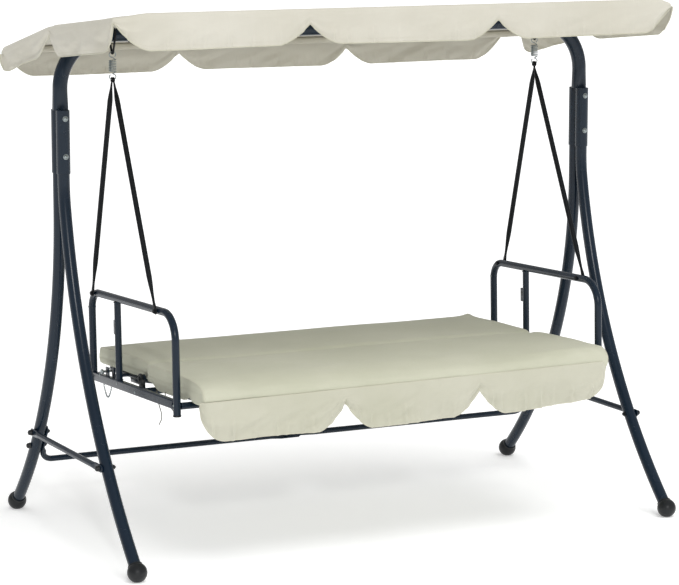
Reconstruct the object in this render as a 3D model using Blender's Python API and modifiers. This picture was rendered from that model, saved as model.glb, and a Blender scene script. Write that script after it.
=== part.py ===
"""Canopy swing bench: a steel A-frame, a tilting fabric canopy and a sprung hanging seat.

The seat's backrest lies flat, so that the seat is a bed. Metres, +Z up, the front is -Y.
The origin is on the floor, midway between the four feet.
"""

import math

import bmesh
import bpy
from mathutils import Matrix, Vector

# Side frames
FRAME_X = 0.9776
FOOT_Y = 0.55
FOOT_RADIUS = 0.032
FOOT_Z = 0.0295
LEG_RADIUS = 0.020
LEG_WALL = 0.0015
LEG_TOP = 1.418
SLEEVE_RADIUS = 0.0225
SLEEVE_WALL = 0.0016
SLEEVE_TOP = 1.427
SLEEVE_BOTTOM = 1.220
SLEEVE_SPACING = 0.0444
SLEEVE_BOLT_Z = (1.400, 1.277)
ELBOW_RADIUS = 0.0245
ELBOW_WALL = 0.0014
ELBOW_BEND = 0.170
BRACE_Z = 0.315
BRACE_RADIUS = 0.010
CROSSBAR_RADIUS = 0.010
BOLT_RADIUS = 0.004

# Top beam and what hangs from it
BEAM_Y = 0.066
BEAM_Z = 1.6625
BEAM_RADIUS = 0.0222
BEAM_WALL = 0.0015
HANGER_X = 0.794
LOOP_ROD = 0.0035
LOOP_TIP_Z = 1.602
SPRING_WIRE = 0.002
SPRING_RADIUS = 0.0115
SPRING_TURNS = 8
SPRING_TOP = 1.583
SPRING_BOTTOM = 1.541
RING_WIDTH = 0.0115
RING_HEIGHT = 0.009
SWING_Z = 1.608
EYE_RADIUS = 0.007
EYE_WIRE = 0.0025
EYE_Z = 1.5165

# Canopy
CANOPY_X = 1.009
CANOPY_FRONT = (-0.476, 1.752)
CANOPY_RIDGE = (BEAM_Y, 1.700)
CANOPY_BACK = (0.530, 1.601)
CLOTH = 0.003
ARM_X = 0.720
ARM_RADIUS = 0.008

# Seat, in its own plane: s runs to the back, h runs up from the arm rails' centre line
SEAT_ORIGIN = (0.0, -0.030, 0.506)
SEAT_TILT = math.radians(-2.0)
ARM_REST_X = 0.780
ARM_TUBE = 0.0125
ARM_TOP_H = 0.288
FRONT_POST_S = -0.383
BACK_POST_S = 0.338
UPRIGHT_S = 0.1055
UPRIGHT_RADIUS = 0.0115
RAIL_HEIGHT = 0.030
RAIL_WIDTH = 0.020
HINGE_H = 0.031
LOCK_S = 0.210
LOCK_TAB = (0.131, 0.195)
ROD_SLEEVE = 0.0085
ROD_RADIUS = 0.004
ROD_FRONT_S = -0.262
ROD_BACK_S = 0.288
CUSHION_BOTTOM = 0.0255
CUSHION_TOP = 0.0800

GAP = 0.0003
CIRCLE = 2 * math.pi


def clear_scene():
    for thing in list(bpy.data.objects):
        bpy.data.objects.remove(thing, do_unlink=True)


def new_collection(name):
    made = bpy.data.collections.new(name)
    bpy.context.scene.collection.children.link(made)
    return made


clear_scene()
PARTS = new_collection("canopy_swing_bench")
CUTTERS = new_collection("cutters")


def finish(name, rgb, roughness, metallic):
    made = bpy.data.materials.new(name)
    made.use_nodes = True
    shader = made.node_tree.nodes["Principled BSDF"]
    shader.inputs["Base Color"].default_value = (*rgb, 1.0)
    shader.inputs["Roughness"].default_value = roughness
    shader.inputs["Metallic"].default_value = metallic
    return made


STEEL = finish("dark_powder_coat", (0.012, 0.017, 0.024), 0.35, 0.3)
ZINC = finish("bright_zinc", (0.62, 0.64, 0.65), 0.25, 1.0)
PLASTIC = finish("black_plastic", (0.010, 0.011, 0.012), 0.5, 0.0)
CANVAS = finish("cream_canvas", (0.72, 0.69, 0.58), 0.9, 0.0)
SLING = finish("grey_sling", (0.45, 0.45, 0.40), 0.9, 0.0)
CORD = finish("dark_cord", (0.05, 0.05, 0.04), 0.9, 0.0)

seat_plane = bpy.data.objects.new("seat_plane", None)
seat_plane.location = SEAT_ORIGIN
seat_plane.rotation_euler = (SEAT_TILT, 0.0, 0.0)
PARTS.objects.link(seat_plane)
SEAT_MATRIX = Matrix.Translation(SEAT_ORIGIN) @ Matrix.Rotation(SEAT_TILT, 4, "X")


def add_object(name, mesh, material, collection=PARTS, parent=None):
    made = bpy.data.objects.new(name, mesh)
    if material:
        mesh.materials.append(material)
    made.parent = parent
    collection.objects.link(made)
    return made


def shade(made, angle=40):
    made.data.shade_smooth()
    made.data.set_sharp_from_angle(angle=math.radians(angle))
    return made


def mesh_of(form, name):
    form.normal_update()
    bmesh.ops.recalc_face_normals(form, faces=form.faces)
    mesh = bpy.data.meshes.new(name)
    form.to_mesh(mesh)
    form.free()
    return mesh


def baked(source, name, material, parent=None):
    """A mesh object that stands for a curve or for an object with modifiers."""
    graph = bpy.context.evaluated_depsgraph_get()
    mesh = bpy.data.meshes.new_from_object(source.evaluated_get(graph))
    mesh.materials.clear()
    form = bmesh.new()
    form.from_mesh(mesh)
    bmesh.ops.remove_doubles(form, verts=form.verts, dist=0.00001)
    form.to_mesh(mesh)
    form.free()
    bpy.data.objects.remove(source, do_unlink=True)
    mesh.name = name
    return shade(add_object(name, mesh, material, parent=parent))


def pipe(name, points, radius, material, wall=0.0, sides=12, cyclic=False, parent=None):
    """A round tube or rod along the points. With a wall it is a hollow tube with open ends."""
    curve = bpy.data.curves.new(name, "CURVE")
    curve.dimensions = "3D"
    curve.bevel_depth = radius
    curve.bevel_resolution = (sides - 4) // 2
    curve.use_fill_caps = not wall and not cyclic
    spline = curve.splines.new("POLY")
    spline.points.add(len(points) - 1)
    for spot, place in zip(spline.points, points):
        spot.co = (*place, 1.0)
    spline.use_cyclic_u = cyclic
    source = bpy.data.objects.new(name + "_curve", curve)
    PARTS.objects.link(source)
    if wall:
        shell = source.modifiers.new("wall", "SOLIDIFY")
        shell.thickness = wall
        shell.offset = -1.0
    return baked(source, name, material, parent)


def ring(centre, across, along, half_a, half_b, roundness, sides):
    """One closed section: an ellipse when roundness is 2, and squarer above that."""
    points = []
    for step in range(sides):
        turn = CIRCLE * (step + 0.5) / sides
        c, s = math.cos(turn), math.sin(turn)
        a = half_a * math.copysign(abs(c) ** (2 / roundness), c)
        b = half_b * math.copysign(abs(s) ** (2 / roundness), s)
        points.append(Vector(centre) + Vector(across) * a + Vector(along) * b)
    return points


def loft_mesh(name, rings, capped=True):
    form = bmesh.new()
    rows = [[form.verts.new(point) for point in one] for one in rings]
    for low, high in zip(rows, rows[1:]):
        for i in range(len(low)):
            j = (i + 1) % len(low)
            form.faces.new((low[i], low[j], high[j], high[i]))
    if capped:
        form.faces.new(rows[0])
        form.faces.new(rows[-1])
    return mesh_of(form, name)


def cylinder(name, radius, start, end, material=None, sides=16, collection=PARTS, parent=None):
    start, end = Vector(start), Vector(end)
    form = bmesh.new()
    bmesh.ops.create_cone(
        form, cap_ends=True, segments=sides, radius1=radius, radius2=radius, depth=(end - start).length
    )
    turn = (end - start).to_track_quat("Z", "Y").to_matrix().to_4x4()
    form.transform(Matrix.Translation((start + end) / 2) @ turn)
    return shade(add_object(name, mesh_of(form, name), material, collection, parent))


def box(name, low, high, material=None, collection=PARTS, parent=None, bevel=0.0, segments=2):
    low, high = Vector(low), Vector(high)
    form = bmesh.new()
    bmesh.ops.create_cube(form, size=1.0)
    form.transform(Matrix.Translation((low + high) / 2) @ Matrix.Diagonal((*(high - low), 1.0)))
    made = add_object(name, mesh_of(form, name), material, collection, parent)
    if bevel:
        edge = made.modifiers.new("rounded_edges", "BEVEL")
        edge.width = bevel
        edge.segments = segments
    return shade(made)


def turned(name, profile, place, direction, material, sides=12, parent=None):
    """A turned piece from (radius, height) pairs, with its foot at place and its axis on direction."""
    form = bmesh.new()
    spots = [form.verts.new((radius, 0.0, height)) for radius, height in profile]
    for first, second in zip(spots, spots[1:]):
        form.edges.new((first, second))
    mesh = bpy.data.meshes.new(name)
    form.to_mesh(mesh)
    form.free()
    made = add_object(name, mesh, material, parent=parent)
    made.location = place
    made.rotation_euler = Vector(direction).to_track_quat("Z", "Y").to_euler()
    spin = made.modifiers.new("turned", "SCREW")
    spin.steps = sides
    spin.render_steps = sides
    spin.use_merge_vertices = True
    spin.merge_threshold = 0.00001
    spin.use_smooth_shade = True
    return made


def as_cutter(tool):
    tool.hide_render = True
    tool.display_type = "WIRE"
    return tool


def combine(target, tool, operation):
    step = target.modifiers.new(tool.name, "BOOLEAN")
    step.operation = operation
    step.object = as_cutter(tool)
    step.solver = "EXACT"


def weld(target, *tools):
    for tool in tools:
        combine(target, tool, "UNION")


def cut(target, *tools):
    for tool in tools:
        combine(target, tool, "DIFFERENCE")


def rounded_route(corners, bends, steps=5):
    """The corners joined by straight runs, each inner corner rounded to its bend radius."""
    points = [Vector(corners[0])]
    for before, corner, after, bend in zip(corners, corners[1:], corners[2:], bends):
        corner = Vector(corner)
        back = (Vector(before) - corner).normalized()
        ahead = (Vector(after) - corner).normalized()
        half = back.angle(ahead) / 2
        reach = bend / math.tan(half)
        centre = corner + (back + ahead).normalized() * bend / math.sin(half)
        first = corner + back * reach - centre
        last = corner + ahead * reach - centre
        for step in range(steps + 1):
            points.append(centre + first.slerp(last, step / steps).normalized() * bend)
    points.append(Vector(corners[-1]))
    return points


# ---------------------------------------------------------------- side frames


def leg_route(front):
    """The leg's centre line in the YZ plane: straight in its sleeve, then bowed out to its foot."""
    outward = -1 if front else 1
    y = BEAM_Y + outward * SLEEVE_SPACING / 2
    points = [(y, LEG_TOP), (y, (LEG_TOP + 1.2) / 2)]
    if front:
        first_bend, lean = 0.50, math.radians(11)
        top = 1.200
        for step in range(3):
            turn = lean * step / 2
            points.append((y - first_bend * (1 - math.cos(turn)), top - first_bend * math.sin(turn)))
        y, z = points[-1]
    else:
        lean, z = 0.0, 1.105
        points.append((y, z))
    reach, fall = abs(outward * FOOT_Y - y), z - FOOT_Z
    foot_lean = 2 * math.atan(reach / fall) - lean
    bow = fall / (math.sin(foot_lean) - math.sin(lean))
    stop = foot_lean - 0.004 / bow
    for step in range(1, 9):
        turn = lean + (stop - lean) * step / 8
        points.append(
            (
                y + outward * bow * (math.cos(lean) - math.cos(turn)),
                z - bow * (math.sin(turn) - math.sin(lean)),
            )
        )
    return points


def place_on_leg(front, height):
    """The leg's centre and its direction, downwards, at a height."""
    points = leg_route(front)
    for upper, lower in zip(points, points[1:]):
        if upper[1] >= height >= lower[1]:
            share = (upper[1] - height) / (upper[1] - lower[1])
            y = upper[0] + (lower[0] - upper[0]) * share
            return y, Vector((0.0, lower[0] - upper[0], lower[1] - upper[1])).normalized()
    raise ValueError(height)


def make_foot(name, x, front):
    """A ball foot with a flat under it and a socket for the leg."""
    before, end = (Vector((x, *place)) for place in leg_route(front)[-2:])
    along = (end - before).normalized()
    y = -FOOT_Y if front else FOOT_Y
    form = bmesh.new()
    bmesh.ops.create_uvsphere(form, u_segments=14, v_segments=9, radius=FOOT_RADIUS)
    form.transform(Matrix.Translation((x, y, FOOT_Z)))
    below = bmesh.ops.bisect_plane(
        form,
        geom=form.verts[:] + form.edges[:] + form.faces[:],
        plane_co=(0, 0, 0),
        plane_no=(0, 0, -1),
        clear_outer=True,
    )
    rim = [item for item in below["geom_cut"] if isinstance(item, bmesh.types.BMEdge)]
    bmesh.ops.contextual_create(form, geom=rim)
    foot = shade(add_object(name, mesh_of(form, name), PLASTIC))
    socket = cylinder(
        name + "_socket",
        LEG_RADIUS + 0.0010,
        end + along * 0.0006,
        end - along * 0.080,
        collection=CUTTERS,
    )
    cut(foot, socket)


def make_leg(name, x, front, holes):
    route = [(x, y, z) for y, z in leg_route(front)]
    leg = pipe(name, route, LEG_RADIUS, STEEL, wall=LEG_WALL, sides=12)
    cut(leg, *holes)


def make_elbow(name, side, holes):
    """The bent corner tube, flattened at its foot, with the twin sleeves welded under it."""
    x = side * FRAME_X
    sides = 14
    rings = []
    foot_shapes = (
        (SLEEVE_TOP - 0.001, 0.030, 0.0170, 4.0),
        (SLEEVE_TOP + 0.018, 0.029, 0.0185, 3.4),
        (SLEEVE_TOP + 0.040, 0.0265, 0.0220, 2.5),
    )
    for z, half_x, half_y, roundness in foot_shapes:
        rings.append(ring((x, BEAM_Y, z), (-side, 0, 0), (0, 1, 0), half_x, half_y, roundness, sides))
    bend_x, bend_z = x - side * ELBOW_BEND, BEAM_Z - ELBOW_BEND
    for step in range(8):
        turn = math.pi / 2 * step / 7
        place = (bend_x + side * ELBOW_BEND * math.cos(turn), BEAM_Y, bend_z + ELBOW_BEND * math.sin(turn))
        across = (-side * math.cos(turn), 0.0, -math.sin(turn))
        rings.append(ring(place, across, (0, 1, 0), ELBOW_RADIUS, ELBOW_RADIUS, 2.0, sides))
    elbow = shade(add_object(name, loft_mesh(name, rings, capped=False), STEEL))
    wall = elbow.modifiers.new("wall", "SOLIDIFY")
    wall.thickness = ELBOW_WALL
    wall.offset = -1.0

    sleeves = []
    for end, offset in (("front", -SLEEVE_SPACING / 2), ("back", SLEEVE_SPACING / 2)):
        y = BEAM_Y + offset
        outer = cylinder(
            f"{name}_{end}_sleeve",
            SLEEVE_RADIUS,
            (x, y, SLEEVE_BOTTOM),
            (x, y, SLEEVE_TOP),
            sides=14,
            collection=CUTTERS,
        )
        sleeves.append((y, outer))
    weld(elbow, *[outer for _, outer in sleeves])
    for y, outer in sleeves:
        bore = cylinder(
            outer.name + "_bore",
            SLEEVE_RADIUS - SLEEVE_WALL,
            (x, y, SLEEVE_BOTTOM - 0.01),
            (x, y, SLEEVE_TOP - 0.004),
            sides=14,
            collection=CUTTERS,
        )
        cut(elbow, bore)
    cut(elbow, *holes)


def bolt_profile(head_radius, head, shaft_radius, length, nut):
    """A domed head at the foot of the axis, a shaft, and a nut at its far end, from the nut down."""
    return [
        (0.0, length + nut),
        (head_radius * 0.9, length + nut),
        (head_radius * 0.9, length),
        (shaft_radius, length),
        (shaft_radius, 0.0),
        (head_radius, 0.0),
        (head_radius, -head * 0.4),
        (head_radius * 0.6, -head),
        (0.0, -head),
    ]


def make_bolt(name, place, direction, length, material=ZINC, head_radius=0.0075, head=0.005, nut=0.006):
    profile = bolt_profile(head_radius, head, BOLT_RADIUS, length, nut)
    return turned(name, profile, place, direction, material, sides=8)


def make_side_frame(word, side):
    x = side * FRAME_X
    half = SLEEVE_SPACING / 2 + SLEEVE_RADIUS
    holes = []
    for number, z in enumerate(SLEEVE_BOLT_Z, 1):
        reach = half + 0.02
        holes.append(
            cylinder(
                f"{word}_sleeve_bolt_hole_{number}",
                BOLT_RADIUS + 0.0005,
                (x, BEAM_Y - reach, z),
                (x, BEAM_Y + reach, z),
                sides=10,
                collection=CUTTERS,
            )
        )
        make_bolt(
            f"{word}_sleeve_bolt_{number}",
            (x, BEAM_Y - half - 0.0004, z),
            (0, 1, 0),
            2 * half + 0.0008,
        )
    brace_holes = []
    for end, front in (("front", True), ("back", False)):
        y, _ = place_on_leg(front, BRACE_Z)
        hole = cylinder(
            f"{word}_{end}_brace_hole",
            BOLT_RADIUS + 0.0005,
            (x - side * 0.06, y, BRACE_Z),
            (x + side * 0.06, y, BRACE_Z),
            sides=10,
            collection=CUTTERS,
        )
        brace_holes.append(hole)
        make_leg(f"{end}_{word}_leg", x, front, [*holes, hole])
        make_foot(f"{end}_{word}_foot", x, front)
    make_elbow(f"{word}_elbow", side, holes)
    make_brace(word, side, brace_holes)


def make_brace(word, side, holes):
    """A tube with flattened ends, bolted to the outer faces of both legs."""
    x = side * (FRAME_X + LEG_RADIUS + 0.0035)
    front_y, _ = place_on_leg(True, BRACE_Z)
    back_y, _ = place_on_leg(False, BRACE_Z)
    end, flat = 0.016, 0.034
    stations = (
        (front_y - end, 0.013, 0.0030, 3.0),
        (front_y + flat, 0.013, 0.0030, 3.0),
        (front_y + flat + 0.030, BRACE_RADIUS, BRACE_RADIUS, 2.0),
        (back_y - flat - 0.030, BRACE_RADIUS, BRACE_RADIUS, 2.0),
        (back_y - flat, 0.013, 0.0030, 3.0),
        (back_y + end, 0.013, 0.0030, 3.0),
    )
    rings = [
        ring((x, y, BRACE_Z), (0, 0, 1), (1, 0, 0), half_z, half_x, roundness, 12)
        for y, half_z, half_x, roundness in stations
    ]
    name = f"{word}_side_brace"
    brace = shade(add_object(name, loft_mesh(name, rings), STEEL))
    cut(brace, *holes)
    outer = x + side * 0.0034
    make_bolt(f"{word}_front_brace_bolt", (outer, front_y, BRACE_Z), (-side, 0, 0), 0.0475, PLASTIC, 0.009, 0.012)
    make_bolt(f"{word}_crossbar_bolt", (outer, back_y, BRACE_Z), (-side, 0, 0), 0.0565, PLASTIC, 0.009, 0.012)


def make_crossbar(word, side, joint_hole):
    """Half of the rear crossbar: its outer end bends up along the leg, its inner end is flattened."""
    back_y, down = place_on_leg(False, BRACE_Z)
    up = -down
    normal = Vector((1, 0, 0)).cross(up)
    bolt = Vector((side * (FRAME_X - LEG_RADIUS - 0.0048), back_y, BRACE_Z))
    run = Vector((side * (FRAME_X - LEG_RADIUS - 0.0012 - CROSSBAR_RADIUS), back_y, BRACE_Z))
    corner = run - up * 0.132
    inner = Vector((-side * 0.030, *corner[1:]))
    lift = side * 0.0034
    route = rounded_route([run, corner, inner], [0.040], steps=6)
    stations = [(bolt + up * 0.020, 0.013, 0.004, 3.0), (bolt - up * 0.075, 0.013, 0.004, 3.0)]
    stations += [(point, CROSSBAR_RADIUS, CROSSBAR_RADIUS, 2.0) for point in route[1:-1]]
    stations.append((Vector((side * 0.085, *corner[1:])), CROSSBAR_RADIUS, CROSSBAR_RADIUS, 2.0))
    stations.append((Vector((side * 0.045, *corner[1:])) + up * lift, 0.014, 0.003, 3.0))
    stations.append((inner + up * lift, 0.014, 0.003, 3.0))
    rings = []
    for index, (place, wide, thin, roundness) in enumerate(stations):
        before = stations[max(index - 1, 0)][0]
        after = stations[min(index + 1, len(stations) - 1)][0]
        along = (after - before).normalized()
        if index >= len(stations) - 3:
            along = Vector((-side, 0, 0))
        if index <= 1:
            along = -up
        rings.append(ring(place, normal, along.cross(normal), wide, thin, roundness, 12))
    name = f"{word}_rear_crossbar"
    bar = shade(add_object(name, loft_mesh(name, rings), STEEL))
    end_hole = cylinder(
        name + "_end_hole",
        BOLT_RADIUS + 0.0005,
        bolt - Vector((0.03, 0, 0)),
        bolt + Vector((0.03, 0, 0)),
        sides=10,
        collection=CUTTERS,
    )
    cut(bar, end_hole, joint_hole)
    return corner, up


def make_crossbars():
    back_y, down = place_on_leg(False, BRACE_Z)
    middle = Vector((0.0, back_y, BRACE_Z)) + down * 0.132
    joint_hole = cylinder(
        "crossbar_joint_hole", BOLT_RADIUS + 0.0005, middle - down * 0.03, middle + down * 0.03, sides=10, collection=CUTTERS
    )
    make_crossbar("left", -1, joint_hole)
    make_crossbar("right", 1, joint_hole)
    make_bolt("crossbar_joint_bolt", middle + down * 0.0068, -down, 0.0136)


# ---------------------------------------------------------------- beam, loops and springs


def make_beam():
    reach = FRAME_X - ELBOW_BEND + 0.004
    rings = [
        ring((x, BEAM_Y, BEAM_Z), (0, 0, -1), (0, 1, 0), BEAM_RADIUS, BEAM_RADIUS, 2.0, 16) for x in (-reach, reach)
    ]
    beam = shade(add_object("top_beam", loft_mesh("top_beam", rings, capped=False), STEEL))
    wall = beam.modifiers.new("wall", "SOLIDIFY")
    wall.thickness = BEAM_WALL
    wall.offset = -1.0


def make_hanger_loop(word, side):
    """A closed rod loop over the beam, narrowing to a tip that carries the spring."""
    over = BEAM_RADIUS + LOOP_ROD + 0.0006
    tip = 0.007
    low_z = LOOP_TIP_Z + tip
    slope = math.asin((over - tip) / (BEAM_Z - low_z))
    points = []
    for step in range(9):
        turn = -slope + (math.pi + 2 * slope) * step / 8
        points.append((side * HANGER_X, BEAM_Y + over * math.cos(turn), BEAM_Z + over * math.sin(turn)))
    for step in range(5):
        turn = math.pi + slope + (math.pi - 2 * slope) * step / 4
        points.append((side * HANGER_X, BEAM_Y + tip * math.cos(turn), low_z + tip * math.sin(turn)))
    pipe(f"{word}_hanger_loop", points, LOOP_ROD, STEEL, sides=8, cyclic=True)


def make_spring(word, side):
    """A closed-coil extension spring with a ring at each end."""
    x = side * HANGER_X
    points = []
    top = SWING_Z - RING_HEIGHT
    for step in range(9):
        turn = math.radians(-50 + 320 * step / 8)
        points.append((x + RING_WIDTH * math.cos(turn), BEAM_Y, top + RING_HEIGHT * math.sin(turn)))
    steps = 8
    drop = (SPRING_TOP - SPRING_BOTTOM) / SPRING_TURNS
    for step in range(SPRING_TURNS * steps + 1):
        turn = CIRCLE * step / steps
        z = SPRING_TOP - 0.002 - (drop - 0.0005) * step / steps
        points.append((x + SPRING_RADIUS * math.cos(turn), BEAM_Y + SPRING_RADIUS * math.sin(turn), z))
    low = EYE_Z + EYE_RADIUS - EYE_WIRE - SPRING_WIRE - 0.0016 + RING_HEIGHT
    for step in range(9):
        turn = math.radians(90 - 320 * step / 8)
        points.append((x + RING_WIDTH * math.cos(turn), BEAM_Y, low + RING_HEIGHT * math.sin(turn)))
    pipe(f"{word}_spring", points, SPRING_WIRE, ZINC, sides=6)


# ---------------------------------------------------------------- canopy


def scalloped_edge(start, end, run, notch_drop, low_drop, fractions):
    """The lower edge of a valance from start to end as (along, height) points.

    Each scallop starts at a notch notch_drop under the top edge, falls over the run to low_drop
    and comes back up to the next notch. The fractions are where the notches are.
    """
    def top_height(share):
        return start[1] + (end[1] - start[1]) * share

    length = end[0] - start[0]
    points = []
    for low, high in zip(fractions, fractions[1:]):
        span = (high - low) * length
        for step in range(5):
            t = step / 4
            across = (2 * (1 - t) * t * 0.6 + t * t) * run
            fall = 2 * (1 - t) * t + t * t
            share = low + across / length
            points.append((start[0] + share * length, top_height(share) - notch_drop - fall * (low_drop - notch_drop)))
        for step in range(4, -1, -1):
            t = step / 4
            across = span - (2 * (1 - t) * t * 0.6 + t * t) * run
            fall = 2 * (1 - t) * t + t * t
            share = low + across / length
            points.append((start[0] + share * length, top_height(share) - notch_drop - fall * (low_drop - notch_drop)))
    return points


def cloth_panel(name, outline, matrix, parent=None, thickness=CLOTH):
    """A flat panel of cloth: the outline is in the panel's own X and Y, and the matrix places it."""
    curve = bpy.data.curves.new(name, "CURVE")
    curve.dimensions = "2D"
    curve.fill_mode = "BOTH"
    curve.extrude = thickness / 2
    spline = curve.splines.new("POLY")
    spline.points.add(len(outline) - 1)
    for spot, (across, height) in zip(spline.points, outline):
        spot.co = (across, height, 0.0, 1.0)
    spline.use_cyclic_u = True
    source = bpy.data.objects.new(name + "_curve", curve)
    PARTS.objects.link(source)
    made = baked(source, name, CANVAS, parent)
    made.data.transform(matrix)
    return made


UPRIGHT_FACING_FRONT = Matrix(((1, 0, 0, 0), (0, 0, -1, 0), (0, 1, 0, 0), (0, 0, 0, 1)))
UPRIGHT_FACING_SIDE = Matrix(((0, 0, 1, 0), (1, 0, 0, 0), (0, 1, 0, 0), (0, 0, 0, 1)))


def make_canopy_cloth():
    form = bmesh.new()
    rows = [
        [form.verts.new((x, y, z)) for x in (-CANOPY_X, CANOPY_X)] for y, z in (CANOPY_FRONT, CANOPY_RIDGE, CANOPY_BACK)
    ]
    for near, far in zip(rows, rows[1:]):
        form.faces.new((near[0], near[1], far[1], far[0]))
    top = add_object("canopy_top", mesh_of(form, "canopy_top"), CANVAS)
    if top.data.polygons[0].normal.z < 0:
        top.data.flip_normals()
    wall = top.modifiers.new("cloth", "SOLIDIFY")
    wall.thickness = CLOTH
    wall.offset = -1.0

    thirds = (0.0, 1 / 3, 2 / 3, 1.0)
    edge = CLOTH / 2 + GAP
    for word, place, low, side in (("front", CANOPY_FRONT, 0.115, -1), ("back", CANOPY_BACK, 0.103, 1)):
        start, end = (-CANOPY_X, place[1]), (CANOPY_X, place[1])
        outline = [start, *scalloped_edge(start, end, 0.10, 0.040, low, thirds), end]
        shift = Matrix.Translation((0, place[0] + side * edge, 0))
        cloth_panel(f"{word}_valance", outline, shift @ UPRIGHT_FACING_FRONT)

    for word, side in (("left", -1), ("right", 1)):
        front = (CANOPY_FRONT[0] + 0.001, CANOPY_FRONT[1])
        back = (CANOPY_BACK[0] - 0.001, CANOPY_BACK[1])
        lower = scalloped_edge(front, CANOPY_RIDGE, 0.09, 0.016, 0.105, (0.0, 1.0))
        lower += scalloped_edge(CANOPY_RIDGE, back, 0.08, 0.016, 0.090, (0.0, 1.0))[1:]
        shift = Matrix.Translation((side * (CANOPY_X + edge), 0, 0))
        cloth_panel(f"{word}_valance", [front, *lower, back, CANOPY_RIDGE], shift @ UPRIGHT_FACING_SIDE)


def under_canopy(y, below):
    """A point under the canopy's cloth at y."""
    far = CANOPY_FRONT if y < BEAM_Y else CANOPY_BACK
    share = (y - CANOPY_RIDGE[0]) / (far[0] - CANOPY_RIDGE[0])
    return CANOPY_RIDGE[1] + (far[1] - CANOPY_RIDGE[1]) * share - CLOTH - below


def make_canopy_frame():
    front_y, back_y = CANOPY_FRONT[0] + 0.020, CANOPY_BACK[0] - 0.020
    front_z, back_z = under_canopy(front_y, ARM_RADIUS + 0.0020), under_canopy(back_y, ARM_RADIUS + 0.0030)
    for word, y, z in (("front", front_y, front_z), ("back", back_y, back_z)):
        pipe(f"canopy_{word}_tube", [(-0.995, y, z), (0.995, y, z)], ARM_RADIUS, STEEL, wall=0.0012, sides=12)
    for word, side in (("left", -1), ("right", 1)):
        x = side * ARM_X
        name = f"canopy_{word}_arm"
        ring_radius, width = 0.0262, 0.015
        collar = cylinder(name, ring_radius, (x - width, BEAM_Y, BEAM_Z), (x + width, BEAM_Y, BEAM_Z), STEEL, sides=20)
        reach = 0.0006 + 2 * ARM_RADIUS
        front_arm = cylinder(
            name + "_front",
            ARM_RADIUS,
            (x, BEAM_Y - 0.016, under_canopy(BEAM_Y - 0.016, 0.014)),
            (x, front_y + reach / 2 + ARM_RADIUS * 0.02, front_z),
            sides=12,
            collection=CUTTERS,
        )
        back_arm = cylinder(
            name + "_back",
            ARM_RADIUS,
            (x, BEAM_Y + 0.016, under_canopy(BEAM_Y + 0.016, 0.014)),
            (x, back_y - reach / 2 - ARM_RADIUS * 0.02, back_z),
            sides=12,
            collection=CUTTERS,
        )
        weld(collar, front_arm, back_arm)
        bore = cylinder(
            name + "_bore",
            BEAM_RADIUS + 0.0010,
            (x - 0.04, BEAM_Y, BEAM_Z),
            (x + 0.04, BEAM_Y, BEAM_Z),
            sides=20,
            collection=CUTTERS,
        )
        low = BEAM_Z - BEAM_RADIUS
        stud_hole = cylinder(
            name + "_stud_hole", 0.0036, (x, BEAM_Y, low + 0.002), (x, BEAM_Y, low - 0.010), sides=10, collection=CUTTERS
        )
        cut(collar, bore, stud_hole)
        knob = [
            (0.0, 0.0210),
            (0.0030, 0.0210),
            (0.0030, 0.0150),
            (0.0120, 0.0150),
            (0.0150, 0.0120),
            (0.0150, 0.0030),
            (0.0120, 0.0),
            (0.0, 0.0),
        ]
        turned(f"canopy_{word}_knob", knob, (x, BEAM_Y, low - 0.0222), (0, 0, 1), PLASTIC, sides=12)


# ---------------------------------------------------------------- hanging seat


def seat_point(x, s, h):
    return SEAT_MATRIX @ Vector((x, s, h))


def make_hanging_rod(word, end, side):
    """A rod with an eye on the spring's ring, a thick sleeve, and a stud through the armrest tube."""
    front = end == "front"
    name = f"{end}_{word}_hanging_rod"
    eye_x = side * (HANGER_X + (-0.0028 if front else 0.0028))
    eye = Vector((eye_x, BEAM_Y, EYE_Z))
    stud = seat_point(side * (ARM_REST_X + ARM_TUBE + 0.0036), ROD_FRONT_S if front else ROD_BACK_S, ARM_TOP_H)
    along = (stud - eye).normalized()
    length = (stud - eye).length
    normal = along.cross(Vector((1, 0, 0))).normalized()
    across = normal.cross(along)
    stations = (
        (EYE_RADIUS - 0.001, EYE_WIRE, EYE_WIRE, 2.0),
        (0.055, ROD_RADIUS, ROD_RADIUS, 2.0),
        (0.060, ROD_SLEEVE, ROD_SLEEVE, 2.0),
        (length - 0.090, ROD_SLEEVE, ROD_SLEEVE, 2.0),
        (length - 0.060, ROD_RADIUS, ROD_RADIUS, 2.0),
        (length - 0.030, ROD_RADIUS, ROD_RADIUS, 2.0),
        (length - 0.018, 0.0095, 0.0030, 3.0),
        (length + 0.010, 0.0095, 0.0030, 3.0),
    )
    rings = [
        ring(eye + along * reach, normal, across, wide, thin, roundness, 10) for reach, wide, thin, roundness in stations
    ]
    rod = shade(add_object(name, loft_mesh(name, rings), STEEL))
    circle = []
    for step in range(12):
        turn = CIRCLE * step / 12
        circle.append(eye + Vector((0, math.cos(turn), math.sin(turn))) * EYE_RADIUS)
    loop = pipe(name + "_eye", circle, EYE_WIRE, STEEL, sides=8, cyclic=True)
    PARTS.objects.unlink(loop)
    CUTTERS.objects.link(loop)
    stud_pin = cylinder(
        name + "_stud", ROD_RADIUS, stud, stud - Vector((side * 0.032, 0, 0)), sides=10, collection=CUTTERS
    )
    weld(rod, loop, stud_pin)


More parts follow.
